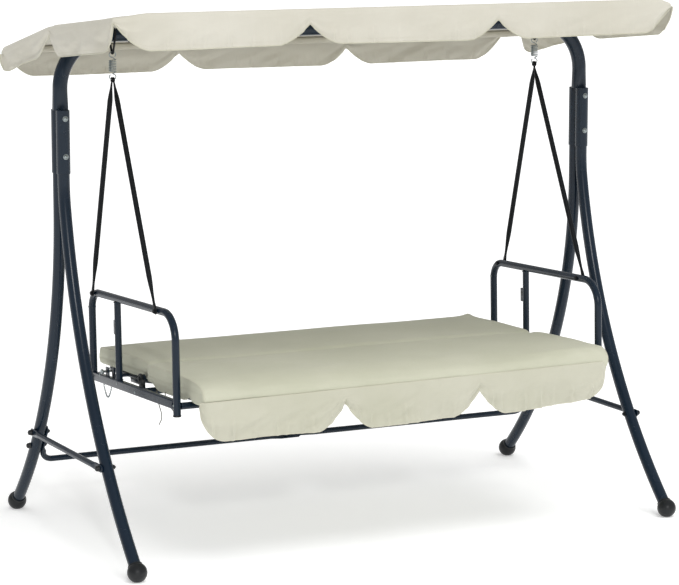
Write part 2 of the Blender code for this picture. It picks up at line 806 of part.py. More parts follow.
def make_arm(word, side):
    x = side * ARM_REST_X
    corners = [
        (x, BACK_POST_S, -0.015),
        (x, BACK_POST_S, ARM_TOP_H),
        (x, FRONT_POST_S, ARM_TOP_H),
        (x, FRONT_POST_S, -0.036),
    ]
    hoop = pipe(
        f"{word}_armrest",
        rounded_route(corners, [0.060, 0.085]),
        ARM_TUBE,
        STEEL,
        wall=0.0013,
        sides=12,
        parent=seat_plane,
    )
    for number, s in enumerate((ROD_FRONT_S, ROD_BACK_S), 1):
        hole = cylinder(
            f"{word}_stud_hole_{number}",
            ROD_RADIUS + 0.0006,
            (x - 0.03, s, ARM_TOP_H),
            (x + 0.03, s, ARM_TOP_H),
            sides=10,
            collection=CUTTERS,
            parent=seat_plane,
        )
        cut(hoop, hole)

    half_w, half_h = RAIL_WIDTH / 2, RAIL_HEIGHT / 2
    first, last = FRONT_POST_S + ARM_TUBE + GAP, BACK_POST_S - ARM_TUBE - GAP
    rail = box(
        f"{word}_arm_rail",
        (x - half_w, first, -half_h),
        (x + half_w, last, half_h),
        STEEL,
        parent=seat_plane,
        bevel=0.004,
        segments=2,
    )
    upright = cylinder(
        f"{word}_upright",
        UPRIGHT_RADIUS,
        (x, UPRIGHT_S, 0.0),
        (x, UPRIGHT_S, ARM_TOP_H - ARM_TUBE - GAP),
        sides=12,
        collection=CUTTERS,
        parent=seat_plane,
    )
    tab_s, tab_h = LOCK_TAB
    upper_tab = box(
        f"{word}_upper_tab",
        (x - 0.002, tab_s - 0.020, tab_h - 0.030),
        (x + 0.002, tab_s + 0.011, tab_h + 0.018),
        collection=CUTTERS,
        parent=seat_plane,
    )
    lower_tab = box(
        f"{word}_lower_tab",
        (x - 0.002, LOCK_S - 0.014, 0.0),
        (x + 0.002, LOCK_S + 0.014, HINGE_H + 0.014),
        collection=CUTTERS,
        parent=seat_plane,
    )
    wall = 0.0018
    rail_core = box(
        f"{word}_rail_core",
        (x - half_w + wall, first - 0.01, -half_h + wall),
        (x + half_w - wall, last + 0.01, half_h - wall),
        collection=CUTTERS,
        parent=seat_plane,
    )
    weld(rail, upright, upper_tab, lower_tab)
    cut(rail, rail_core)
    for label, s, h in (("upper", tab_s, tab_h), ("lower", LOCK_S, HINGE_H)):
        hole = cylinder(
            f"{word}_{label}_lock_hole",
            0.0046,
            (x - 0.006, s, h),
            (x + 0.006, s, h),
            sides=12,
            collection=CUTTERS,
            parent=seat_plane,
        )
        cut(rail, hole)

    pin = [
        (0.0, 0.0400),
        (0.0030, 0.0400),
        (0.0040, 0.0380),
        (0.0040, 0.0080),
        (0.0080, 0.0080),
        (0.0080, 0.0),
        (0.0, 0.0),
    ]
    turned(
        f"{word}_lock_pin",
        pin,
        (side * (ARM_REST_X + 0.024), LOCK_S, HINGE_H),
        (-side, 0, 0),
        ZINC,
        sides=12,
        parent=seat_plane,
    )


def frame_route(half_x, s_low, s_high, h, corner):
    """The centre line of a rounded rectangle, flat in the seat's plane."""
    points = []
    for turn, x, s in (
        (0, half_x, s_high),
        (1, -half_x, s_high),
        (2, -half_x, s_low),
        (3, half_x, s_low),
    ):
        centre = Vector((x - math.copysign(corner, x), s - corner if s == s_high else s + corner, h))
        for step in range(4):
            angle = math.pi / 2 * (turn + step / 3)
            points.append(centre + Vector((math.cos(angle), math.sin(angle), 0)) * corner)
    return points


def hollow_core(name, points, radius):
    """A cutter that empties a closed tube."""
    core = pipe(name, points, radius, None, sides=8, cyclic=True, parent=seat_plane)
    PARTS.objects.unlink(core)
    CUTTERS.objects.link(core)
    return core


def cushion_block(name, half_x, section, bevel):
    """A cushion of one section along the bench, with rounded edges."""
    rings = [[Vector((x, s, h)) for s, h in section] for x in (-half_x, half_x)]
    cushion = add_object(name, loft_mesh(name, rings), CANVAS, parent=seat_plane)
    edge = cushion.modifiers.new("rounded_edges", "BEVEL")
    edge.width = bevel
    edge.segments = 2
    edge.angle_limit = math.radians(35)
    shade(cushion)


def make_seat():
    route = frame_route(0.712, -0.490, -0.052, 0.0125, 0.05)
    frame = pipe("seat_frame", route, 0.009, STEEL, sides=10, cyclic=True, parent=seat_plane)
    cores = [hollow_core("seat_frame_core", route, 0.0078)]
    for word, s, reach in (
        ("front", FRONT_POST_S, ARM_REST_X - ARM_TUBE - GAP),
        ("rear", -0.052, ARM_REST_X - RAIL_WIDTH / 2 - GAP),
    ):
        for label, radius, beyond in (("tube", 0.0115, 0.0), ("tube_core", 0.0101, 0.02)):
            piece = cylinder(
                f"seat_{word}_{label}",
                radius,
                (-reach - beyond, s, -0.004),
                (reach + beyond, s, -0.004),
                sides=12,
                collection=CUTTERS,
                parent=seat_plane,
            )
            if beyond:
                cores.append(piece)
            else:
                weld(frame, piece)
    cut(frame, *cores)
    box("seat_sling", (-0.716, -0.494, 0.0218), (0.716, -0.044, 0.0238), SLING, parent=seat_plane)
    section = (
        (-0.020, CUSHION_BOTTOM),
        (-0.020, CUSHION_TOP),
        (-0.400, CUSHION_TOP),
        (-0.460, CUSHION_TOP - 0.007),
        (-0.505, CUSHION_TOP - 0.022),
        (-0.505, CUSHION_BOTTOM),
    )
    cushion_block("seat_cushion", 0.742, section, 0.012)
    start, end = (-0.743, 0.036), (0.743, 0.036)
    outline = [start, *scalloped_edge(start, end, 0.075, 0.055, 0.143, (0.0, 1 / 3, 2 / 3, 1.0)), end]
    shift = Matrix.Translation((0, -0.5068, 0))
    cloth_panel("seat_skirt", outline, shift @ UPRIGHT_FACING_FRONT, parent=seat_plane, thickness=0.003)


def make_hinge(word, side):
    """The seat's side of the backrest hinge: a plate on the rear tube, with a disc and a pin."""
    inner, outer = side * 0.744, side * 0.750
    low, high = sorted((inner, outer))
    plate = box(
        f"{word}_hinge",
        (low, -0.036, -0.010),
        (high, 0.010, HINGE_H),
        STEEL,
        parent=seat_plane,
    )
    disc = cylinder(
        f"{word}_hinge_disc",
        0.0165,
        (inner - side * 0.0002, 0.0, HINGE_H),
        (outer + side * 0.0010, 0.0, HINGE_H),
        sides=20,
        collection=CUTTERS,
        parent=seat_plane,
    )
    pin = cylinder(
        f"{word}_hinge_pin",
        0.0050,
        (outer, 0.0, HINGE_H),
        (side * 0.729, 0.0, HINGE_H),
        sides=12,
        collection=CUTTERS,
        parent=seat_plane,
    )
    weld(plate, disc, pin)


def make_backrest():
    route = frame_route(0.700, 0.026, 0.412, 0.0125, 0.05)
    frame = pipe("backrest_frame", route, 0.009, STEEL, sides=10, cyclic=True, parent=seat_plane)
    for word, side in (("left", -1), ("right", 1)):
        low, high = sorted((side * 0.733, side * 0.741))
        lug = box(
            f"{word}_hinge_lug",
            (low, -0.006, 0.006),
            (high, 0.105, 0.022),
            collection=CUTTERS,
            parent=seat_plane,
        )
        eye = cylinder(
            f"{word}_hinge_eye",
            0.0140,
            (low, 0.0, HINGE_H),
            (high, 0.0, HINGE_H),
            sides=20,
            collection=CUTTERS,
            parent=seat_plane,
        )
        stub = cylinder(
            f"{word}_hinge_stub",
            0.0060,
            (side * 0.700, 0.095, 0.0125),
            (side * 0.737, 0.095, 0.0125),
            sides=10,
            collection=CUTTERS,
            parent=seat_plane,
        )
        lock_low, lock_high = sorted((side * 0.756, side * 0.761))
        lock_plate = box(
            f"{word}_lock_lug",
            (lock_low, LOCK_S - 0.012, 0.004),
            (lock_high, LOCK_S + 0.012, HINGE_H + 0.012),
            collection=CUTTERS,
            parent=seat_plane,
        )
        lock_stub = cylinder(
            f"{word}_lock_stub",
            0.0060,
            (side * 0.700, LOCK_S, 0.0125),
            (side * 0.758, LOCK_S, 0.0125),
            sides=10,
            collection=CUTTERS,
            parent=seat_plane,
        )
        weld(frame, lug, eye, stub, lock_plate, lock_stub)
        hinge_hole = cylinder(
            f"{word}_hinge_hole",
            0.0055,
            (side * 0.720, 0.0, HINGE_H),
            (side * 0.742, 0.0, HINGE_H),
            sides=12,
            collection=CUTTERS,
            parent=seat_plane,
        )
        lock_hole = cylinder(
            f"{word}_lug_hole",
            0.0046,
            (side * 0.750, LOCK_S, HINGE_H),
            (side * 0.766, LOCK_S, HINGE_H),
            sides=12,
            collection=CUTTERS,
            parent=seat_plane,
        )
        cut(frame, hinge_hole, lock_hole)
    box("backrest_sling", (-0.706, 0.034, 0.0218), (0.706, 0.418, 0.0238), SLING, parent=seat_plane)

    section = ((0.014, CUSHION_BOTTOM), (0.424, CUSHION_BOTTOM), (0.424, 0.083), (0.060, 0.083))
    cushion_block("backrest_cushion", 0.722, section, 0.010)


def smooth_route(points, count):
    """A smooth curve through the points, as evenly numbered points along it."""
    padded = [points[0] * 2 - points[1], *points, points[-1] * 2 - points[-2]]
    made = []
    spans = len(points) - 1
    for step in range(count):
        place = spans * step / (count - 1)
        index = min(int(place), spans - 1)
        t = place - index
        before, start, end, after = padded[index : index + 4]
        made.append(
            (
                start * 2
                + (end - before) * t
                + (before * 2 - start * 5 + end * 4 - after) * t * t
                + (start * 3 - before - end * 3 + after) * t * t * t
            )
            / 2
        )
    return made


TIE_ROUTES = {
    "front_tie": (
        (-0.750, -0.245, 0.5300),
        (-0.750, -0.247, 0.5150),
        (-0.749, -0.252, 0.5010),
        (-0.744, -0.259, 0.4880),
        (-0.736, -0.265, 0.4770),
        (-0.728, -0.268, 0.4660),
    ),
    "rear_tie": (
        (-0.750, -0.176, 0.5280),
        (-0.751, -0.179, 0.5100),
        (-0.752, -0.188, 0.4920),
        (-0.753, -0.205, 0.4740),
        (-0.754, -0.222, 0.4560),
        (-0.755, -0.224, 0.4380),
        (-0.755, -0.212, 0.4240),
        (-0.754, -0.200, 0.4140),
    ),
}


def make_ties():
    for name, route in TIE_ROUTES.items():
        pipe(name, smooth_route([Vector(point) for point in route], 16), 0.0015, CORD, sides=8)


make_side_frame("left", -1)
make_side_frame("right", 1)
make_crossbars()
make_beam()
for word, side in (("left", -1), ("right", 1)):
    make_hanger_loop(word, side)
    make_spring(word, side)
    make_hanging_rod(word, "front", side)
    make_hanging_rod(word, "back", side)
    make_arm(word, side)
    make_hinge(word, side)
make_canopy_cloth()
make_canopy_frame()
make_seat()
make_backrest()
make_ties()
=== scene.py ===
"""The finished look of a canopy swing bench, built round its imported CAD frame."""

import random
from math import asin, atan, copysign, cos, exp, pi, radians, sin, sqrt, tan

import bmesh
import bpy
from mathutils import Matrix, Vector, noise


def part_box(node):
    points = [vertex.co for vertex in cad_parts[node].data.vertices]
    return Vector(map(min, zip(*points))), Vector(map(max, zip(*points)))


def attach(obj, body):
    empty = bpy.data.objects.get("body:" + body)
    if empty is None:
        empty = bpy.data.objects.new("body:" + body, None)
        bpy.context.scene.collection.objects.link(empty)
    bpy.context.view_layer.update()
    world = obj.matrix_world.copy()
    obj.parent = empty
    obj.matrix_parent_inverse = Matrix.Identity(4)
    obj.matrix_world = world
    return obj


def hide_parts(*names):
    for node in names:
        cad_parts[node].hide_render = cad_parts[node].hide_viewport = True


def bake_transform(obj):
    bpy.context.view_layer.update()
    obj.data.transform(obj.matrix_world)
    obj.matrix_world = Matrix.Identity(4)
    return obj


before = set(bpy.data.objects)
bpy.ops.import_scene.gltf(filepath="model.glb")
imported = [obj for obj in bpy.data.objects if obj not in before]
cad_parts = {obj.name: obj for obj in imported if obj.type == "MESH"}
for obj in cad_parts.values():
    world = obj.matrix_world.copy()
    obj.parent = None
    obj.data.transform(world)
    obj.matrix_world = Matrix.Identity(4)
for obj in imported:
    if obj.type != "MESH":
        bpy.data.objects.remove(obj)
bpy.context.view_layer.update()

CIRCLE = 2 * pi
UP = Vector((0, 0, 1))
SIDES = (("left", -1), ("right", 1))
THINNEST = 0.00001

# Stand
FRAME_X = 0.9776
BEAM_Y = 0.066
BEAM_Z = 1.6625
BEAM_RADIUS = 0.0222
LEG_RADIUS = 0.020
LEG_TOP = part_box("front_left_leg")[1].z
FOOT_Y = 0.55
FOOT_Z = 0.0295
FOOT_RADIUS = 0.032
SLEEVE_RADIUS = 0.0225
SLEEVE_TOP = 1.427
SLEEVE_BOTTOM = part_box("left_elbow")[0].z
SLEEVE_SPACING = 0.0444
ELBOW_RADIUS = 0.0245
ELBOW_BEND = 0.170
BRACE_Z = 0.315
BRACE_RADIUS = 0.010

# Cloth
CLOTH_WALL = 0.0014
HEM_RADIUS = 0.0019
WEAVE = 0.0016

# Hangers
HANGER_X = 0.794
SWING_Z = 1.608
LOOP_TIP_Z = 1.602
EYE_Z = 1.5165
EYE_RADIUS = 0.007
EYE_WIRE = 0.0025
SPRING_RADIUS = 0.0115
SPRING_WIRE = 0.002

# Canopy
CANOPY_X = 1.009
CANOPY_LINE = ((-0.476, 1.752), (BEAM_Y, 1.700), (0.530, 1.601))

# Seat plane: s runs to the back, h up from the arm rails' centre line
SEAT_ORIGIN = Vector((0.0, -0.030, 0.506))
SEAT_TILT = radians(-2.0)
SEAT = Matrix.Translation(SEAT_ORIGIN) @ Matrix.Rotation(SEAT_TILT, 4, "X")
ARM_X = 0.780
ARM_TUBE = 0.0125
ARM_TOP_H = 0.288
FRONT_POST_S = -0.383
BACK_POST_S = 0.338
UPRIGHT_S = 0.1055
HINGE_H = 0.031
LOCK_S = 0.210
ROD_FRONT_S = -0.262
ROD_BACK_S = 0.288


def seat_point(x, s, h):
    return SEAT @ Vector((x, s, h))


# camera


def set_camera():
    data = bpy.data.cameras.new("camera")
    data.sensor_width = 36.0
    data.lens = 147.49
    data.shift_x = -0.0004
    data.shift_y = 0.0030
    data.clip_end = 200.0
    camera = bpy.data.objects.new("camera", data)
    camera.location = (-4.152, -8.394, 2.251)
    camera.rotation_euler = (radians(80.958), 0.0, radians(-26.317))
    bpy.context.scene.collection.objects.link(camera)
    bpy.context.scene.camera = camera


set_camera()

# shader maths


class Value:
    """A shader socket that takes part in Python arithmetic."""

    def __init__(self, tree, socket):
        self.tree = tree
        self.socket = socket

    def maths(self, operation, other, swap=False):
        node = self.tree.nodes.new("ShaderNodeMath")
        node.operation = operation
        pair = (other, self) if swap else (self, other)
        for entry, value in zip(node.inputs, pair):
            if isinstance(value, Value):
                self.tree.links.new(value.socket, entry)
            else:
                entry.default_value = value
        return Value(self.tree, node.outputs[0])

    def __add__(self, other):
        return self.maths("ADD", other)

    __radd__ = __add__

    def __sub__(self, other):
        return self.maths("SUBTRACT", other)

    def __rsub__(self, other):
        return self.maths("SUBTRACT", other, swap=True)

    def __mul__(self, other):
        return self.maths("MULTIPLY", other)

    __rmul__ = __mul__

    def sine(self):
        return self.maths("SINE", 0.0)

    def smooth(self, low, high):
        """0 below low, 1 above high, and smooth between them."""
        node = self.tree.nodes.new("ShaderNodeMapRange")
        node.interpolation_type = "SMOOTHSTEP"
        self.tree.links.new(self.socket, node.inputs["Value"])
        node.inputs["From Min"].default_value = low
        node.inputs["From Max"].default_value = high
        return Value(self.tree, node.outputs["Result"])


class Finish:
    """A material under construction: a Principled shader and the nodes that feed it."""

    def __init__(self, name, **settings):
        self.material = bpy.data.materials.new(name)
        self.material.use_nodes = True
        self.tree = self.material.node_tree
        self.shader = self.tree.nodes["Principled BSDF"]
        for key, value in settings.items():
            self.shader.inputs[key.replace("_", " ")].default_value = value
        self.place = self.node("ShaderNodeTexCoord").outputs["Object"]
        self.bumped = None

    def node(self, kind, settings=(), **inputs):
        made = self.tree.nodes.new(kind)
        for key, value in dict(settings).items():
            setattr(made, key, value)
        for key, value in inputs.items():
            entry = made.inputs[key.replace("_", " ")]
            if isinstance(value, Value):
                value = value.socket
            if isinstance(value, bpy.types.NodeSocket):
                self.tree.links.new(value, entry)
            else:
                entry.default_value = value
        return made

    def noise(self, scale, detail=3.0, roughness=0.5, vector=None):
        made = self.node("ShaderNodeTexNoise", Scale=scale, Detail=detail, Roughness=roughness,
            Vector=vector or self.place)
        return Value(self.tree, made.outputs["Fac"])

    def stretched(self, sizes, vector=None):
        made = self.node("ShaderNodeMapping", Vector=vector or self.place, Scale=sizes)
        return made.outputs["Vector"]

    def axes(self, vector=None):
        made = self.node("ShaderNodeSeparateXYZ", Vector=vector or self.place)
        return [Value(self.tree, made.outputs[axis]) for axis in "XYZ"]

    def uv(self):
        return self.node("ShaderNodeTexCoord").outputs["UV"]

    def blend_colour(self, share, first, second, kind="MIX"):
        """A colour between two others, each a colour or a socket."""
        made = self.tree.nodes.new("ShaderNodeMix")
        made.data_type = "RGBA"
        made.blend_type = kind
        entries = [made.inputs[index] for index in (0, 6, 7)]
        for entry, value in zip(entries, (share, first, second)):
            if isinstance(value, Value):
                value = value.socket
            if isinstance(value, bpy.types.NodeSocket):
                self.tree.links.new(value, entry)
            elif isinstance(value, (int, float)):
                entry.default_value = value
            else:
                entry.default_value = (*value, 1.0)
        return made.outputs[2]

    def feed(self, entry, value):
        if isinstance(value, Value):
            value = value.socket
        self.tree.links.new(value, self.shader.inputs[entry])

    def bump(self, height, distance, strength=1.0):
        made = self.node("ShaderNodeBump", Height=height, Distance=distance, Strength=strength)
        if self.bumped:
            self.tree.links.new(self.bumped, made.inputs["Normal"])
        self.bumped = made.outputs["Normal"]
        self.tree.links.new(self.bumped, self.shader.inputs["Normal"])


def powder_coat():
    """Dark blue-grey baked paint: a faint orange peel, a little dust and rubbed patches."""
    made = Finish("powder_coat", Roughness=0.26, Metallic=0.0, Specular_IOR_Level=0.34)
    broad = made.noise(9.0, 4.0)
    fine = made.noise(420.0, 2.0)
    rubbed = made.noise(38.0, 6.0, 0.65).smooth(0.60, 0.78)
    colour = made.blend_colour(broad, (0.0030, 0.0105, 0.0215), (0.0058, 0.0155, 0.0300))
    colour = made.blend_colour(rubbed * 0.35, colour, (0.020, 0.030, 0.040))
    made.feed("Base Color", colour)
    made.feed("Roughness", 0.22 + 0.08 * broad + 0.12 * rubbed)
    made.bump(fine, 0.0003, 0.22)
    return made.material


def black_paint():
    """The hangers' flatter black paint."""
    made = Finish("matt_black_paint", Roughness=0.5, Metallic=0.0, Specular_IOR_Level=0.16)
    broad = made.noise(14.0, 4.0)
    colour = made.blend_colour(broad, (0.0050, 0.0060, 0.0075), (0.0085, 0.0100, 0.0120))
    made.feed("Base Color", colour)
    made.feed("Roughness", 0.42 + 0.14 * broad)
    made.bump(made.noise(600.0, 2.0), 0.0003, 0.25)
    return made.material


def zinc_plate():
    """Bright zinc with cloudy patches and drawing marks."""
    made = Finish("zinc_plate", Roughness=0.28, Metallic=1.0)
    cloudy = made.noise(240.0, 5.0, 0.6)
    colour = made.blend_colour(cloudy, (0.17, 0.20, 0.21), (0.42, 0.46, 0.46))
    made.feed("Base Color", colour)
    made.feed("Roughness", 0.18 + 0.22 * cloudy)
    made.bump(made.noise(1500.0, 2.0), 0.0001, 0.3)
    return made.material


def moulded_plastic():
    """Black moulded plastic with a fine grain."""
    made = Finish("moulded_plastic", Roughness=0.4, Metallic=0.0, Specular_IOR_Level=0.35)
    broad = made.noise(30.0, 3.0)
    colour = made.blend_colour(broad, (0.0065, 0.0080, 0.0090), (0.0110, 0.0125, 0.0140))
    made.feed("Base Color", colour)
    made.feed("Roughness", 0.30 + 0.16 * broad)
    made.bump(made.noise(900.0, 3.0), 0.0002, 0.35)
    return made.material


def woven_canvas(name, light, shade, thread, vector_kind):
    """Plain-weave polyester: over-and-under threads, slubs, faint stains and soft creases."""
    made = Finish(name, Roughness=0.85, Metallic=0.0, Sheen_Weight=0.12, Sheen_Roughness=0.45)
    if vector_kind == "cloth":
        u, v, _ = made.axes(made.uv())
        crosses = (u * (CIRCLE / thread)).sine() * (v * (CIRCLE / thread)).sine()
        slub_u = made.noise(1.0, 3.0, vector=made.stretched((900.0, 26.0, 1.0), made.uv()))
        slub_v = made.noise(1.0, 3.0, vector=made.stretched((26.0, 900.0, 1.0), made.uv()))
        crease_place = made.stretched((7.0, 2.2, 1.0), made.uv())
    else:
        x, y, z = made.axes()
        rate = CIRCLE / thread
        sines = [(axis * rate).sine() for axis in (x, y, z)]
        crosses = sines[0] * sines[1] + sines[1] * sines[2] + sines[2] * sines[0]
        slub_u = made.noise(1.0, 3.0, vector=made.stretched((26.0, 900.0, 900.0)))
        slub_v = made.noise(1.0, 3.0, vector=made.stretched((900.0, 26.0, 26.0)))
        crease_place = made.stretched((2.6, 7.5, 5.0))
    crease = made.noise(1.0, 4.0, 0.55, vector=crease_place)
    broad = made.noise(2.3, 5.0, 0.6)
    colour = made.blend_colour(broad.smooth(0.30, 0.72), shade, light)
    slub = 0.5 * slub_u + 0.5 * slub_v
    darker = tuple(0.86 * part for part in shade)
    colour = made.blend_colour(slub.smooth(0.50, 0.74) * 0.28, colour, darker)
    colour = made.blend_colour((0.5 + 0.5 * crosses).smooth(0.0, 0.9) * 0.10, colour, light)
    made.feed("Base Color", colour)
    made.feed("Roughness", 0.78 + 0.14 * slub)
    made.bump(crease, 0.010, 0.42)
    made.bump(crosses, 0.00022, 0.5)
    made.bump(slub, 0.00030, 0.35)
    return made.material


def support_mesh():
    """The woven support under the cushion: a coarse basket of flat tapes."""
    made = Finish("support_mesh", Roughness=0.8, Metallic=0.0)
    x, y, _ = made.axes()
    across = (x * (CIRCLE / 0.0062)).sine()
    along = (y * (CIRCLE / 0.0062)).sine()
    basket = across * along
    colour = made.blend_colour(basket.smooth(-0.4, 0.6), (0.36, 0.36, 0.30), (0.56, 0.56, 0.49))
    made.feed("Base Color", colour)
    made.feed("Roughness", 0.72 + 0.12 * made.noise(60.0))
    made.bump(basket, 0.0006, 0.5)
    return made.material


def tie_cord():
    made = Finish("tie_cord", Roughness=0.85, Metallic=0.0)
    x, y, z = made.axes()
    twist = ((z + 0.6 * x + 0.6 * y) * (CIRCLE / 0.0042)).sine()
    fuzz = made.noise(260.0, 4.0)
    colour = made.blend_colour(twist.smooth(-0.6, 0.7), (0.040, 0.038, 0.028), (0.13, 0.12, 0.085))
    made.feed("Base Color", colour)
    made.feed("Roughness", 0.75 + 0.2 * fuzz)
    made.bump(twist, 0.0003, 0.6)
    return made.material


STEEL = powder_coat()
BLACK = black_paint()
ZINC = zinc_plate()
PLASTIC = moulded_plastic()
CANOPY_CLOTH = woven_canvas("canopy_canvas", (0.625, 0.602, 0.525), (0.568, 0.544, 0.460), WEAVE,
    "cloth")
SKIRT_CLOTH = woven_canvas("skirt_canvas", (0.545, 0.535, 0.440), (0.490, 0.485, 0.380), WEAVE,
    "cloth")
SEAT_CLOTH = woven_canvas("cushion_canvas", (0.565, 0.565, 0.450), (0.505, 0.510, 0.390), WEAVE,
    "block")
PIPING_CLOTH = woven_canvas("piping_canvas", (0.600, 0.585, 0.480), (0.530, 0.515, 0.405), 0.0012,
    "block")
# The pockets' canvas is the cover's canvas made darker: painted shade for the pockets that hang
# under the canopy's top.
SHADED_POCKET_CLOTH = woven_canvas("pocket_canvas_painted_shade", (0.560, 0.535, 0.455), (0.500, 0.475, 0.395), WEAVE,
    "block")
SUPPORT = support_mesh()
TIE = tie_cord()

# making and placing pieces


def settle(name, mesh, material, body, replaces=(), angle=35):
    """Makes a piece of a form or mesh, dresses it, and lets it ride on a body."""
    if isinstance(mesh, bmesh.types.BMesh):
        mesh = form_mesh(mesh)
    mesh.name = name
    mesh.materials.clear()
    mesh.materials.append(material)
    mesh.shade_smooth()
    mesh.set_sharp_from_angle(angle=radians(angle))
    made = bpy.data.objects.new(name, mesh)
    bpy.context.scene.collection.objects.link(made)
    if isinstance(body, str):
        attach(made, body)
    if replaces:
        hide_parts(*replaces)
    return made


def form_mesh(form):
    form.normal_update()
    bmesh.ops.recalc_face_normals(form, faces=form.faces)
    mesh = bpy.data.meshes.new("form")
    form.to_mesh(mesh)
    form.free()
    return mesh


def add_rings(form, rings, closed=False):
    """Lofts rings of points into the form."""
    rows = [[form.verts.new(point) for point in one] for one in rings]
    pairs = list(zip(rows, rows[1:]))
    if closed:
        pairs.append((rows[-1], rows[0]))
    for low, high in pairs:
        for i in range(len(low)):
            j = (i + 1) % len(low)
            form.faces.new((low[i], low[j], high[j], high[i]))
    if not closed:
        form.faces.new(rows[0])
        form.faces.new(rows[-1])


def around(count):
    """Evenly spaced angles round a circle."""
    return [CIRCLE * step / count for step in range(count)]


def section(centre, across, along, half_a, half_b, roundness=2.0, sides=28):
    points = []
    for step in range(sides):
        turn = CIRCLE * (step + 0.5) / sides
        c, s = cos(turn), sin(turn)
        a = half_a * copysign(abs(c) ** (2 / roundness), c)
        b = half_b * copysign(abs(s) ** (2 / roundness), s)
        points.append(Vector(centre) + Vector(across) * a + Vector(along) * b)
    return points


def tube_rings(points, radius, sides=24, closed=False):
    """Round sections along a route, carried from one to the next without twist."""
    points = [Vector(point) for point in points]
    count = len(points)
    radii = radius if isinstance(radius, (list, tuple)) else [radius] * count
    rings, normal = [], None
    for index, point in enumerate(points):
        before = points[index - 1] if index or closed else point
        after = points[(index + 1) % count] if index < count - 1 or closed else point
        along = (after - before).normalized()
        if normal is None:
            helper = UP if abs(along.z) < 0.9 else Vector((1, 0, 0))
            normal = along.cross(helper).normalized()
        normal = (normal - along * normal.dot(along)).normalized()
        rings.append(section(point, normal, along.cross(normal), radii[index], radii[index],
            sides=sides))
    return rings


def tube(form, points, radius, sides=24, closed=False):
    add_rings(form, tube_rings(points, radius, sides, closed), closed)


def lathe(form, profile, place, direction, sides=24):
    """A turned piece from (radius, height) pairs along the direction."""
    turn = Vector(direction).to_track_quat("Z", "Y").to_matrix()
    rings = []
    for radius, height in profile:
        radius = max(radius, THINNEST)
        ring = []
        for angle in around(sides):
            ring.append(Vector(place) + turn @ Vector((radius * cos(angle), radius * sin(angle),
                height)))
        rings.append(ring)
    add_rings(form, rings)


def block(form, low, high, matrix=None, bevel=0.0, segments=2):
    """A box with rounded edges."""
    low, high = Vector(low), Vector(high)
    made = bmesh.ops.create_cube(form, size=1.0)
    place = Matrix.Translation((low + high) / 2) @ Matrix.Diagonal((*(high - low), 1.0))
    bmesh.ops.transform(form, matrix=(matrix or Matrix.Identity(4)) @ place, verts=made["verts"])
    if bevel:
        edges = list({edge for vert in made["verts"] for edge in vert.link_edges})
        bmesh.ops.bevel(form, geom=edges, offset=bevel, segments=segments, affect="EDGES",
            profile=0.5)


def arc_route(corners, bends, steps=12):
    """The corners joined by straight runs, each inner corner rounded to its bend radius."""
    points = [Vector(corners[0])]
    for before, corner, after, bend in zip(corners, corners[1:], corners[2:], bends):
        corner = Vector(corner)
        back = (Vector(before) - corner).normalized()
        ahead = (Vector(after) - corner).normalized()
        half = back.angle(ahead) / 2
        reach = bend / tan(half)
        centre = corner + (back + ahead).normalized() * bend / sin(half)
        first = corner + back * reach - centre
        last = corner + ahead * reach - centre
        for step in range(steps + 1):
            points.append(centre + first.slerp(last, step / steps).normalized() * bend)
    points.append(Vector(corners[-1]))
    return points


def smooth_route(points, count):
    """A smooth curve through the points, as evenly numbered points along it."""
    points = [Vector(point) for point in points]
    padded = [points[0] * 2 - points[1], *points, points[-1] * 2 - points[-2]]
    made = []
    spans = len(points) - 1
    for step in range(count):
        place = spans * step / (count - 1)
        index = min(int(place), spans - 1)
        t = place - index
        before, start, end, after = padded[index : index + 4]
        made.append(
            (
                start * 2
                + (end - before) * t
                + (before * 2 - start * 5 + end * 4 - after) * t * t
                + (start * 3 - before - end * 3 + after) * t * t * t
            )
            / 2
        )
    return made


def weld_bead(form, centre, direction, radius, size=0.0022, sides=28):
    """A slightly uneven ring of weld round a joint."""
    turn = Vector(direction).to_track_quat("Z", "Y").to_matrix()
    points, sizes = [], []
    for angle in around(sides):
        points.append(Vector(centre) + turn @ Vector((cos(angle), sin(angle), 0)) * radius)
        sizes.append(size * (1 + 0.16 * sin(angle * 9)))
    tube(form, points, sizes, sides=8, closed=True)


# cords

TIE_ROUTES = {
    "front_tie": (
        (-0.750, -0.245, 0.5300),
        (-0.750, -0.247, 0.5150),
        (-0.749, -0.252, 0.5010),
        (-0.744, -0.259, 0.4880),
        (-0.736, -0.265, 0.4770),
        (-0.728, -0.268, 0.4660),
    ),
    "rear_tie": (
        (-0.750, -0.176, 0.5280),
        (-0.751, -0.179, 0.5100),
        (-0.752, -0.188, 0.4920),
        (-0.753, -0.205, 0.4740),
        (-0.754, -0.222, 0.4560),
        (-0.755, -0.224, 0.4380),
        (-0.755, -0.212, 0.4240),
        (-0.754, -0.200, 0.4140),
    ),
}


def make_ties():
    for name, route in TIE_ROUTES.items():
        path = smooth_route(route, 40)
        length = sum((b - a).length for a, b in zip(path, path[1:]))
        form = bmesh.new()
        tube(form, path, [0.0015] * 38 + [0.0014, 0.0010], sides=10)
        made = settle(f"{name}_cord", form, TIE, "seat", [name])


make_ties()

# stand


def leg_route(front, steps=30):
    outward = -1 if front else 1
    y = BEAM_Y + outward * SLEEVE_SPACING / 2
    points = [(y, LEG_TOP)]
    if front:
        first_bend, lean, top = 0.50, radians(11), 1.200
        for step in range(9):
            turn = lean * step / 8
            points.append((y - first_bend * (1 - cos(turn)), top - first_bend * sin(turn)))
        y, z = points[-1]
    else:
        lean, z = 0.0, 1.105
        points.append((y, z))
    reach, fall = abs(outward * FOOT_Y - y), z - FOOT_Z
    foot_lean = 2 * atan(reach / fall) - lean
    bow = fall / (sin(foot_lean) - sin(lean))
    for step in range(1, steps + 1):
        turn = lean + (foot_lean - 0.004 / bow - lean) * step / steps
        across = outward * bow * (cos(lean) - cos(turn))
        points.append((y + across, z - bow * (sin(turn) - sin(lean))))
    return points


